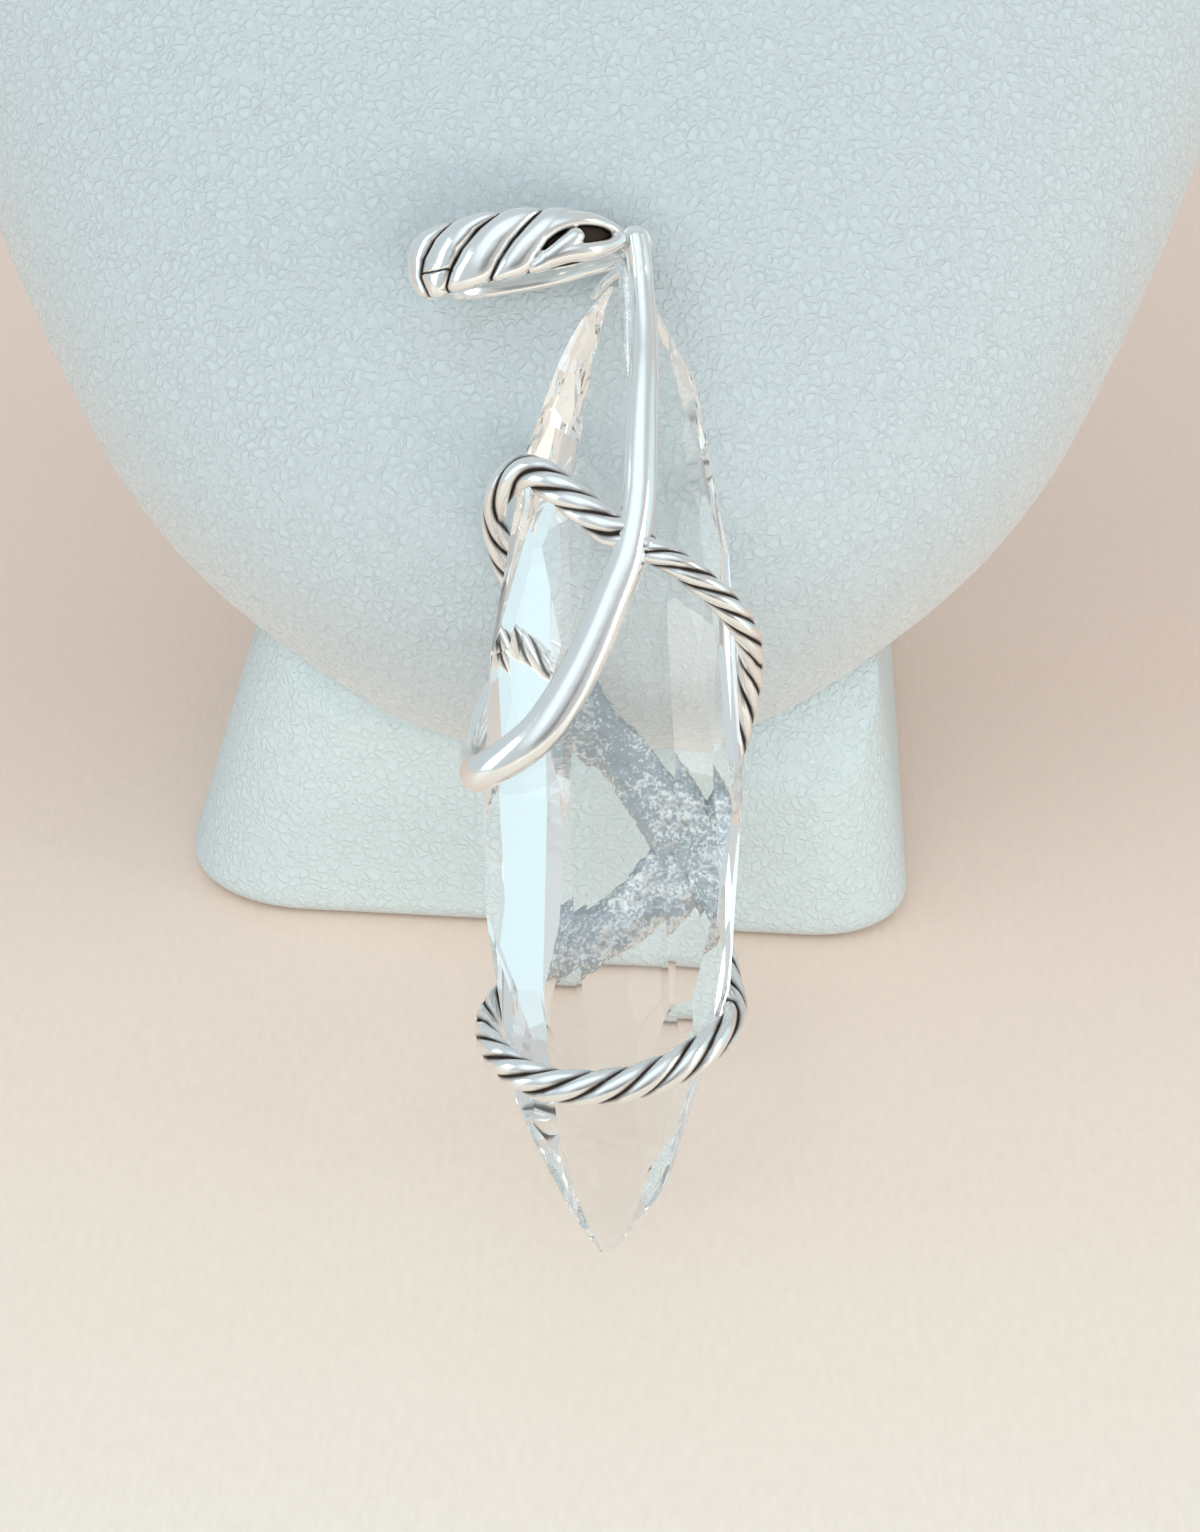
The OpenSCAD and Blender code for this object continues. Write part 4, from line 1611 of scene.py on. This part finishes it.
def barrel_mesh(name: str, form: BailForm, place: np.ndarray) -> bpy.types.Object:
    """Makes the barrel that turns on the axle, a tube with rounded rims.

    Args:
        name: Name of the object.
        form: Sizes of the bail.
        place: Matrix to the shared frame, in millimetres.

    Returns:
        The barrel.
    """
    soft = 0.25
    r, b = form.barrel_r, form.bore_r
    front, back = form.barrel_front, form.barrel_back
    profile = [
        (b, front + 0.1), (b + 0.1, front), (r - soft, front), (r - 0.07, front + 0.07), (r, front + soft),
        (r, back - soft), (r - 0.07, back - 0.07), (r - soft, back), (b + 0.1, back), (b, back - 0.1),
    ]
    points, faces = lathe(profile, TURNED_SIDES, closed=True)
    return plain_mesh(name, points[:, [0, 2, 1]], faces, place)


def block(name: str, low: Point, high: Point, place: np.ndarray, soft: float = 0.18) -> bpy.types.Object:
    """Makes a small block with rounded edges.

    Args:
        name: Name of the object.
        low: Its lowest corner.
        high: Its highest corner.
        place: Matrix to the shared frame, in millimetres.
        soft: Width of the rounding.

    Returns:
        The block.
    """
    corners = np.array([(x, y, z) for x in (low[0], high[0]) for y in (low[1], high[1]) for z in (low[2], high[2])])
    faces = [(0, 1, 3, 2), (4, 6, 7, 5), (0, 4, 5, 1), (2, 3, 7, 6), (0, 2, 6, 4), (1, 5, 7, 3)]
    piece = plain_mesh(name, corners, faces, place)
    work = bmesh.new()
    work.from_mesh(piece.data)
    bmesh.ops.bevel(work, geom=work.edges[:], offset=soft * MM, segments=3, affect="EDGES", profile=0.5)
    work.to_mesh(piece.data)
    work.free()
    piece.data.shade_smooth()
    return piece


@dataclass
class BailFront:
    """Front leg whose fat strands run across it and turn round a dark hollow near the axle."""

    form: BailForm
    plate: float = 0.9
    edge: float = 0.4
    rise: float = 0.95
    rings: int = 300
    steps: int = 72
    # Grooves between the strands: distance from the axle where each crosses the leg at five places across it.
    groove_across: tuple[float, ...] = (-3.0, -1.5, 0.0, 1.5, 3.0)
    grooves: tuple[Row, ...] = (
        (4.6, 6.0, 7.5, 8.8, 9.8),
        (7.6, 9.3, 10.9, 12.1, 13.0),
        (11.4, 13.6, 15.1, 16.1, 16.8),
        (15.4, 17.3, 18.4, 18.8, 18.5),
        (19.4, 20.8, 21.6, 22.0, 22.2),
    )
    # The strand that turns round the hollow, and the short one that ends at it: place along and across, and radius.
    turn_strand: tuple[tuple[float, float], ...] = (
        (9.3, 0.2), (8.3, -0.5), (7.0, -1.25), (5.2, -1.7), (3.3, -1.6), (2.1, -1.0), (1.75, -0.05),
        (2.3, 0.85), (4.0, 1.45), (6.1, 1.5), (8.1, 1.9),
    )
    turn_r: float = 0.95
    short_strand: tuple[tuple[float, float], ...] = ((9.0, 2.6), (7.6, 1.6), (6.4, 0.7), (5.5, 0.05))
    short_r: float = 0.85
    # Thin seam of the hinge at the far end, its half width and its depth.
    seam: tuple[tuple[float, float], ...] = ((16.2, 1.45), (17.6, 1.4), (18.75, 1.2))
    seam_half: float = 0.13
    seam_deep: float = 0.12
    # How squarely the leg's front is crowned, and how far its edge follows the strands in and out.
    crown: float = 0.62
    scallop: float = 0.17
    scallop_height: float = 0.65
    # How square the backs of the strands are, how high the turning strand stands, and how soon a groove is dark.
    cross_power: float = 2.3
    turn_power: float = 2.2
    turn_share: float = 0.92
    hollow_power: float = 1.8
    back_steps: int = 18
    tongue_soft: float = 0.12
    sharp_from: float = 50.0

    def rows(self) -> list[Row]:
        """Returns the leg's middle line.

        Returns:
            Distance as a share, depth, half width as a share, share of the rise, and how far the middle stands to
            one side.
        """
        face, hinge = self.form.front_face, self.form.hinge[1]
        return [
            (0.094, -2.7, 0.17, 1, 0),
            (0.138, -3.5, 0.27, 1, 0),
            (0.214, face + 2.0, 0.36, 1, 0),
            (0.337, face + 1.4, 0.44, 1, 0),
            (0.49, face + 1.2, 0.49, 1, 0),
            (0.645, face + 1.35, 0.51, 1, 0.1),
            (0.785, face + 2.1, 0.52, 0.95, 0.25),
            (0.885, face + 3.2, 0.53, 0.75, 0.4),
            (0.945, hinge - 2.1, 0.52, 0.5, 0.45),
            (0.98, hinge - 1.5, 0.46, 0.35, 0.45),
            (0.998, hinge - 0.95, 0.36, 0.25, 0.45),
            (1.006, hinge - 0.5, 0.2, 0.2, 0.45),
        ]

    def seam_depth(self, u: np.ndarray, w: np.ndarray) -> np.ndarray:
        """Works out where the thin seam of the hinge cuts.

        Args:
            u: Distance from the axle.
            w: Distance across the leg.

        Returns:
            Its depth from 0 to 1.
        """
        away = distance_to(np.stack([u, w], axis=-1), np.array(self.seam))
        return np.maximum(0.0, 1 - away / self.seam_half)

    def strand_height(self, u: np.ndarray, w: np.ndarray) -> np.ndarray:
        """Works out how high the strands stand over the plate.

        Args:
            u: Distance from the axle.
            w: Distance across the leg.

        Returns:
            Height as a share of the full rise.
        """
        lines = np.array([np.interp(w, self.groove_across, row) for row in self.grooves])
        height = np.zeros_like(u)
        for low, high in zip(lines[:-1], lines[1:]):
            x = np.clip(2 * (u - low) / (high - low) - 1, -1, 1)
            height = np.maximum(height, np.sqrt(np.maximum(0.0, 1 - np.abs(x) ** self.cross_power)))
        for line, radius in ((self.turn_strand, self.turn_r), (self.short_strand, self.short_r)):
            away = distance_to(np.stack([u, w], axis=-1), through(line, 60)) / radius
            height = np.maximum(height, self.turn_share * np.sqrt(np.maximum(0.0, 1 - away**self.turn_power)))
        return height

    def build(self, place: np.ndarray) -> bpy.types.Object:
        """Builds the strands over the plate, with the tongue of the hinge.

        Args:
            place: Matrix to the shared frame, in millimetres.

        Returns:
            The whole front of the bail.
        """
        form = self.form
        table = through(self.rows(), self.rings)
        line = np.stack([table[:, 0] * form.length, table[:, 1]], axis=1)
        ahead = unit(np.gradient(line, axis=0))
        side = np.stack([ahead[:, 1], -ahead[:, 0]], axis=1)
        half = form.width * table[:, 2]
        angle = np.linspace(0, math.pi, self.steps + 1)
        w = table[:, 4][:, None] - half[:, None] * np.cos(angle)[None, :]
        u = np.repeat(line[:, :1], len(angle), axis=1)
        height = self.strand_height(u, w) * table[:, 3][:, None]
        seam = self.seam_depth(u, w)
        scallop = 1 + self.scallop * (height - self.scallop_height) * np.abs(np.cos(angle))[None, :] ** 3
        crown = np.sin(angle)[None, :] ** self.crown
        proud = (self.plate - self.edge + self.rise * height) * crown
        front = self.edge - self.plate / 2 + proud - self.seam_deep * seam
        angles_back = np.linspace(math.pi, 2 * math.pi, self.back_steps)[1:-1]
        w_back = table[:, 4][:, None] - half[:, None] * np.cos(angles_back)[None, :]
        back = -self.plate / 2 * np.abs(np.sin(angles_back))[None, :] ** 0.5 * np.ones_like(w_back)
        across = np.concatenate([w * scallop, w_back], axis=1)
        lift = np.concatenate([front, back], axis=1)
        flat = line[:, None, :] + side[:, None, :] * lift[..., None]
        points = np.concatenate([flat, across[..., None]], axis=2).reshape(-1, 3)
        sides = across.shape[1]
        leg = plain_mesh("bail_strands", points, ring_faces(self.rings, sides), place)
        hollow = np.maximum((1 - height / table[:, 3][:, None]) ** self.hollow_power, seam)
        depth = np.concatenate([hollow, np.zeros_like(w_back)], axis=1).ravel()
        give_float(leg, "valley", depth)
        half, (x, y) = form.tongue, form.hinge
        tongue = rod("tongue", form.hinge, form.knuckle_r, -half, half, place, self.tongue_soft)
        web = block("web", (x - 0.7, y - 2.0, -half), (x + 0.7, y, half), place)
        piece = join("bail_front_silver", [leg, tongue, web])
        piece.data.set_sharp_from_angle(angle=math.radians(self.sharp_from))
        return piece


def distance_to(points: np.ndarray, line: np.ndarray) -> np.ndarray:
    """Measures how far points lie from a broken line in the plane.

    Args:
        points: Points, with their coordinates last.
        line: Corners of the line.

    Returns:
        The distance of each point.
    """
    nearest = np.full(points.shape[:-1], np.inf)
    for a, b in zip(line[:-1], line[1:]):
        run = b - a
        share = np.clip(((points - a) @ run) / max(run @ run, 1e-12), 0, 1)
        gap = np.linalg.norm(points - a - share[..., None] * run, axis=-1)
        nearest = np.minimum(nearest, gap)
    return nearest


class Bail:
    """Clip-on bail: a back leg that swings on the axle and a front leg that opens on its own hinge."""

    def __init__(self, placement: Placement) -> None:
        """Keeps the two legs and their place.

        Args:
            placement: Frames of the object.
        """
        form = BailForm()
        self.place = placement.bail()
        self.back = BailBack(form)
        self.front = BailFront(form)

    def build(self, silver: bpy.types.Material, stranded: bpy.types.Material) -> None:
        """Builds and dresses both legs.

        Args:
            silver: Plain silver for the back leg.
            stranded: Silver that reads the depth of the grooves, for the front leg.
        """
        finish_piece(self.back.build(self.place), Body.BAIL, silver, ("bail_back",))
        finish_piece(self.front.build(self.place), Body.GATE, stranded, ("bail_front",))


# Bust

@dataclass
class Chest:
    """Leatherette chest and neck with a flat back, cut level at the top."""

    placement: Placement
    height: float = 150.0
    half_width: float = 70.0
    thick: float = 24.0
    square: float = 2.35
    edge_r: float = 2.0
    # Distances up the slope between which the neck is stretched to its level top.
    neck_from: float = 127.0
    neck_top: float = 146.0
    rings: int = 220
    steps: int = 120
    back_steps: int = 26

    def rows(self) -> list[tuple[float, float, float]]:
        """Lists the sections of the chest and neck.

        Returns:
            Distance up the slope, half width and height of the front of each.
        """
        t, w = self.thick, self.half_width
        return [
            (0, 0.05, 0.05), (0.45, 6.3, 5.9), (1.8, 12.6, 10), (4, 18.2, 13.6), (7.2, 23.8, 17), (10.8, 28.9, 20),
            (15, 34.2, 22.4), (20.6, 39.8, t), (28, 45.3, t + 0.6), (38, 50.6, t + 0.7), (50, 56, t + 0.2),
            (63, 61, t - 0.6), (76, w * 0.935, t - 1.2), (88, w * 0.985, t - 1.4), (98, w, t - 1), (107, w * 0.97, t),
            (115, w * 0.87, t + 1.5), (121, w * 0.7, t + 3.4), (self.neck_from, w * 0.53, t + 5),
            (134, w * 0.43, t + 6.4), (self.neck_top, w * 0.38, t + 7.6),
        ]

    def build(self) -> bpy.types.Object:
        """Builds the chest.

        Returns:
            The closed form in the shared frame.
        """
        table = through(self.rows(), self.rings)
        table[:, 1] = np.clip(table[:, 1], 0.03, self.half_width)
        table[:, 2] = np.maximum(table[:, 2], 0.03)
        angle = np.linspace(0, math.pi, self.steps + 1)
        w, h = table[:, 1][:, None], table[:, 2][:, None]
        depth = h * np.maximum(0, np.sin(angle))[None, :] ** (2 / self.square)
        wide = w * signed_pow(np.cos(angle), 2 / self.square)[None, :]
        soft = np.minimum(self.edge_r, 0.45 * np.minimum(w, h))
        inset = soft - np.sqrt(np.maximum(0.0, soft**2 - np.maximum(0.0, soft - depth) ** 2))
        x = np.sign(wide) * np.maximum(0.0, np.abs(wide) - inset)
        back_share = np.linspace(-1, 1, self.back_steps)[1:-1]
        x_back = (w - soft) * back_share[None, :]
        x_all = np.concatenate([x, x_back], axis=1)
        y_all = np.concatenate([-depth, np.zeros_like(x_back)], axis=1)
        lean = math.radians(self.placement.lean)
        lift = self.height - self.placement.tip[2] + self.placement.chest_back * math.sin(lean)
        top = lift / math.cos(lean) - self.placement.chest_rim + y_all * math.tan(lean)
        rise = np.clip((table[:, :1] - self.neck_from) / (self.neck_top - self.neck_from), 0, 1)
        s_all = table[:, :1] + (top - self.neck_top) * rise
        points = np.stack([x_all, y_all, s_all], axis=-1).reshape(-1, 3)
        faces = ring_faces(self.rings, x_all.shape[1])
        return plain_mesh("chest_leatherette", points, faces, self.placement.chest())


@dataclass
class Foot:
    """Leatherette foot with rounded upright corners, tapered sides and a soft lower edge."""

    placement: Placement
    width: float = 74.0
    depth: float = 72.0
    left_corner_r: float = 13.0
    right_corner_r: float = 9.0
    centre_x: float = -1.7
    # Turned a little, its right side nearer, and narrower towards the back.
    turn: float = -5.5
    narrowing: float = 0.12
    front: float = 52.0
    taper_left: float = 17.0
    taper_right: float = 8.5
    top: float = 84.0
    hem_r: float = 2.4
    gap: float = 0.1
    levels: int = 70
    hem_steps: tuple[int, ...] = (0, 15, 30, 45, 60, 75)
    corner_steps: int = 14
    # Sides longer than this are drawn in parts.
    long_side: float = 10.0
    side_parts: int = 16
    sharp_from: float = 50.0

    def corners(self, z: float) -> list[Row]:
        """Places the four corners at one height.

        Args:
            z: The height.

        Returns:
            Centre, first angle in degrees and radius of each.
        """
        hem = self.hem_r - math.sqrt(max(0.0, self.hem_r**2 - max(0.0, self.hem_r - z) ** 2))
        left = z * math.tan(math.radians(self.taper_left)) - self.width / 2 + hem
        right = self.width / 2 - z * math.tan(math.radians(self.taper_right)) - hem
        front = self.placement.tip[1] + self.front + hem
        back = front + self.depth - 2 * hem
        soft, firm = self.left_corner_r, self.right_corner_r
        return [
            (right - firm, back - firm, 0, firm),
            (left + soft, back - soft, 90, soft),
            (left + soft, front + soft, 180, soft),
            (right - firm, front + firm, 270, firm),
        ]

    def ring(self, z: float) -> np.ndarray:
        """Draws the outline of the foot at one height, with its long sides in short parts.

        Args:
            z: The height.

        Returns:
            The points of the outline.
        """
        corners = self.corners(z)
        front = corners[-1][1] - corners[-1][3]
        outline: list[tuple[float, float]] = []
        for x, y, start, r in corners:
            for step in range(self.corner_steps + 1):
                a = math.radians(start + 90 * step / self.corner_steps)
                outline.append((x + r * math.cos(a), y + r * math.sin(a)))
        dense: list[Point] = []
        for (x0, y0), (x1, y1) in zip(outline, outline[1:] + outline[:1]):
            parts = self.side_parts if math.hypot(x1 - x0, y1 - y0) > self.long_side else 1
            for f in (part / parts for part in range(parts)):
                y = y0 + (y1 - y0) * f
                narrower = 1 - self.narrowing * (y - front) / self.depth
                dense.append((self.centre_x + (x0 + (x1 - x0) * f) * narrower, y, z))
        return np.array(dense)

    def build(self) -> bpy.types.Object:
        """Builds the foot and cuts its top along the chest's back.

        Returns:
            The closed foot.
        """
        low = [self.hem_r * (1 - math.cos(math.radians(a))) for a in self.hem_steps]
        rings = [self.ring(z) for z in low + list(np.linspace(self.hem_r, self.top, self.levels))]
        points = np.concatenate(rings)
        centre = np.array([self.centre_x, self.placement.tip[1] + self.front + self.depth / 2])
        a = math.radians(self.turn)
        spin = np.array([[math.cos(a), math.sin(a)], [-math.sin(a), math.cos(a)]])
        points[:, :2] = centre + (points[:, :2] - centre) @ spin
        piece = plain_mesh("foot_leatherette", points, ring_faces(len(rings), len(rings[0])), np.eye(4))
        chest = self.placement.chest()
        spot = Vector((chest @ np.array([0.0, self.gap, 0.0, 1.0]))[:3] * MM)
        work = bmesh.new()
        work.from_mesh(piece.data)
        cut_away(work, spot, Vector(-chest[:3, 1]))
        bmesh.ops.recalc_face_normals(work, faces=work.faces)
        work.to_mesh(piece.data)
        work.free()
        piece.data.shade_smooth()
        piece.data.set_sharp_from_angle(angle=math.radians(self.sharp_from))
        return piece


class Bust:
    """Display bust that the jewel leans on."""

    def __init__(self, placement: Placement) -> None:
        """Keeps the chest and the foot."""
        self.chest = Chest(placement)
        self.foot = Foot(placement)

    def build(self, effects: SharedEffects) -> None:
        """Builds and dresses the chest and the foot, as shaded and lit copies of one leatherette.

        Args:
            effects: The shared grain and mottle.
        """
        # One leatherette in two copies: the foot's colour and crease shade are painted lighter, the chest's darker and
        # bluer, for the light that falls on each.
        chest = Leatherette("chest_grain_shaded_copy")
        foot = Leatherette(
            "foot_grain_lit_copy", colour=(0.555, 0.642, 0.654), crease_shade_colour=(0.5, 0.56, 0.56), cells=1100.0, bump=0.00008,
            roughness=0.46, sheen=0.2,
        )
        finish_piece(self.chest.build(), Body.DROP, chest.material(effects), ("neck_form",))
        finish_piece(self.foot.build(), Body.DROP, foot.material(effects), ("stand_foot",))


# Studio

@dataclass(frozen=True)
class AreaLight:
    """Soft light with a rectangular face: place and size in metres, and power in watts."""

    name: str
    at: Point
    size: tuple[float, float]
    power: float
    colour: Colour
    # Whether glossy surfaces show it, and whether clear ones let it be seen.
    mirrored: bool = True
    refracted: bool = True

    def add(self, target: Vector) -> None:
        """Adds the light.

        Args:
            target: What it is turned to, in metres.
        """
        light = bpy.data.lights.new(self.name, "AREA")
        light.shape = "RECTANGLE"
        light.size, light.size_y = self.size
        light.energy = self.power
        light.color = self.colour
        holder = bpy.data.objects.new(self.name, light)
        holder.location = self.at
        holder.visible_glossy = self.mirrored
        holder.visible_transmission = self.refracted
        holder.rotation_euler = (target - Vector(self.at)).to_track_quat("-Z", "Y").to_euler()
        bpy.context.collection.objects.link(holder)


@dataclass(frozen=True)
class Surroundings:
    """Pale room round the table, with its bright window and soft ceiling."""

    base: Colour = (0.80, 0.79, 0.78)
    strength: float = 0.72
    # A way, with the cosines of the angles to it at which a soft round patch ends and is full.
    cool: tuple[Point, float, float] = ((-0.62, 0.0, 0.78), -0.4, 0.9)
    room: tuple[Point, float, float] = ((0.1, -0.9, 0.42), 0.9, 0.99)
    window: tuple[Point, float, float] = ((0.96, -0.24, 0.14), 0.78, 0.95)
    ceiling: tuple[Point, float, float] = ((-0.1, -0.62, 0.78), 0.78, 0.97)
    cool_colour: Colour = (0.82, 0.94, 1.0)
    window_colour: Colour = (0.76, 0.95, 1.0)
    # What each patch adds to the strength.
    room_adds: float = -0.4
    window_adds: float = 0.24
    ceiling_adds: float = 0.5

    def add(self) -> None:
        """Builds the world."""
        world = bpy.data.worlds.new("surroundings")
        bpy.context.scene.world = world
        world.use_nodes = True
        build = NodeBuilder(world.node_tree)
        toward = build.add("ShaderNodeTexCoord").outputs["Generated"]
        masks: dict[str, bpy.types.NodeSocket] = {}
        for name in ("cool", "room", "window", "ceiling"):
            way, outer, inner = getattr(self, name)
            cosine = build.add("ShaderNodeVectorMath", {0: toward, 1: way}, operation="DOT_PRODUCT").outputs["Value"]
            masks[name] = build.ramp(cosine, (outer, inner), soft=True)
        colour = build.mix(masks["window"], build.mix(masks["cool"], self.base, self.cool_colour), self.window_colour)
        strength = build.math("MULTIPLY_ADD", masks["room"], self.room_adds, self.strength)
        strength = build.math("MULTIPLY_ADD", masks["window"], self.window_adds, strength)
        strength = build.math("MULTIPLY_ADD", masks["ceiling"], self.ceiling_adds, strength)
        sky = build.add("ShaderNodeBackground", {"Color": colour, "Strength": strength})
        build.add("ShaderNodeOutputWorld", {"Surface": sky.outputs[0]})


@dataclass
class Studio:
    """Table, camera and soft lights. The camera's sizes are in millimetres and its elevation in degrees."""

    target: Point = (1.37, -48.17, 34.35)
    distance: float = 340.0
    elevation: float = 30.0
    frame_height: float = 133.9
    sensor: float = 36.0
    # Half the table's width and its reach to the back, in metres.
    table_half: float = 1.2
    table_far: float = 1.6
    bounces: int = 40
    lights: tuple[AreaLight, ...] = (
        AreaLight("front_light", (-0.1, -1.0, 0.36), (0.9, 0.3), 3.7, (1.0, 0.99, 0.97), False, False),
        AreaLight("low_light", (0.22, -0.75, 0.12), (0.7, 0.12), 1.45, (1.0, 0.93, 0.88), False, False),
        AreaLight("top_light", (-0.35, -0.45, 0.9), (0.4, 0.35), 0.4, (0.92, 0.97, 1.0), mirrored=False),
        AreaLight("left_light", (-0.85, -0.35, 0.35), (0.4, 0.6), 0.9, (0.80, 0.93, 1.0)),
        AreaLight("right_light", (0.85, -0.5, 0.35), (0.25, 0.6), 1.5, (1.0, 0.95, 0.92), refracted=False),
    )

    def build(self, effects: SharedEffects) -> None:
        """Builds the whole studio.

        Args:
            effects: The shared grain and mottle, for the table.
        """
        self.add_table(TableSatin().material(effects))
        self.add_camera()
        for light in self.lights:
            light.add(Vector(self.target) * MM)
        Surroundings().add()
        view = bpy.context.scene.view_settings
        view.view_transform = "Standard"
        view.look = "None"
        paths = bpy.context.scene.cycles
        paths.max_bounces = paths.transmission_bounces = paths.glossy_bounces = self.bounces
        LOG.info("studio: %d lights", len(self.lights))

    def add_table(self, material: bpy.types.Material) -> None:
        """Adds the table board, which isn't part of the object.

        Args:
            material: Its satin.
        """
        mesh = bpy.data.meshes.new("table_board")
        half, far = self.table_half, self.table_far
        mesh.from_pydata([(-half, -half, 0), (half, -half, 0), (half, far, 0), (-half, far, 0)], [], [(0, 1, 2, 3)])
        mesh.materials.append(material)
        table = bpy.data.objects.new("table_board", mesh)
        bpy.context.collection.objects.link(table)

    def add_camera(self) -> None:
        """Adds the camera at the photograph's angle."""
        camera = bpy.data.cameras.new("camera")
        camera.sensor_fit = "AUTO"
        camera.sensor_width = self.sensor
        camera.lens = self.sensor * self.distance / self.frame_height
        camera.clip_start = 0.01
        holder = bpy.data.objects.new("camera", camera)
        tilt = math.radians(self.elevation)
        back = Vector((0, -math.cos(tilt), math.sin(tilt))) * self.distance * MM
        holder.location = Vector(self.target) * MM + back
        holder.rotation_euler = (math.radians(90 - self.elevation), 0, 0)
        bpy.context.collection.objects.link(holder)
        bpy.context.scene.camera = holder


def dress_node(name: str, material: bpy.types.Material) -> None:
    """Gives a CAD node a better material.

    Args:
        name: Name of the node.
        material: Its material.
    """
    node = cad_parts[name]
    node.data.materials.clear()
    node.data.materials.append(material)
    LOG.info("%s: dressed", name)


def main() -> None:
    """Builds the object and its studio in order."""
    logging.basicConfig(level=logging.INFO, format="%(name)s: %(message)s")
    placement = Placement()
    effects = SharedEffects()
    Studio().build(effects)
    silver = Silver("plain_silver", reads_hollows=False).material(effects)
    stranded = Silver("stranded_silver").material(effects)
    dress_node("swing_pin", silver)
    stone = StoneForm()
    drop = FacetedDrop(stone, placement.jewel()).build()
    drop.visible_shadow = drop.visible_diffuse = False
    finish_piece(drop, Body.DROP, Crystal().material(effects), ("stone",))
    WireWrap(stone, placement).build(WireTree(), stranded)
    Bail(placement).build(silver, stranded)
    Bust(placement).build(effects)


if __name__ == "__main__":
    main()
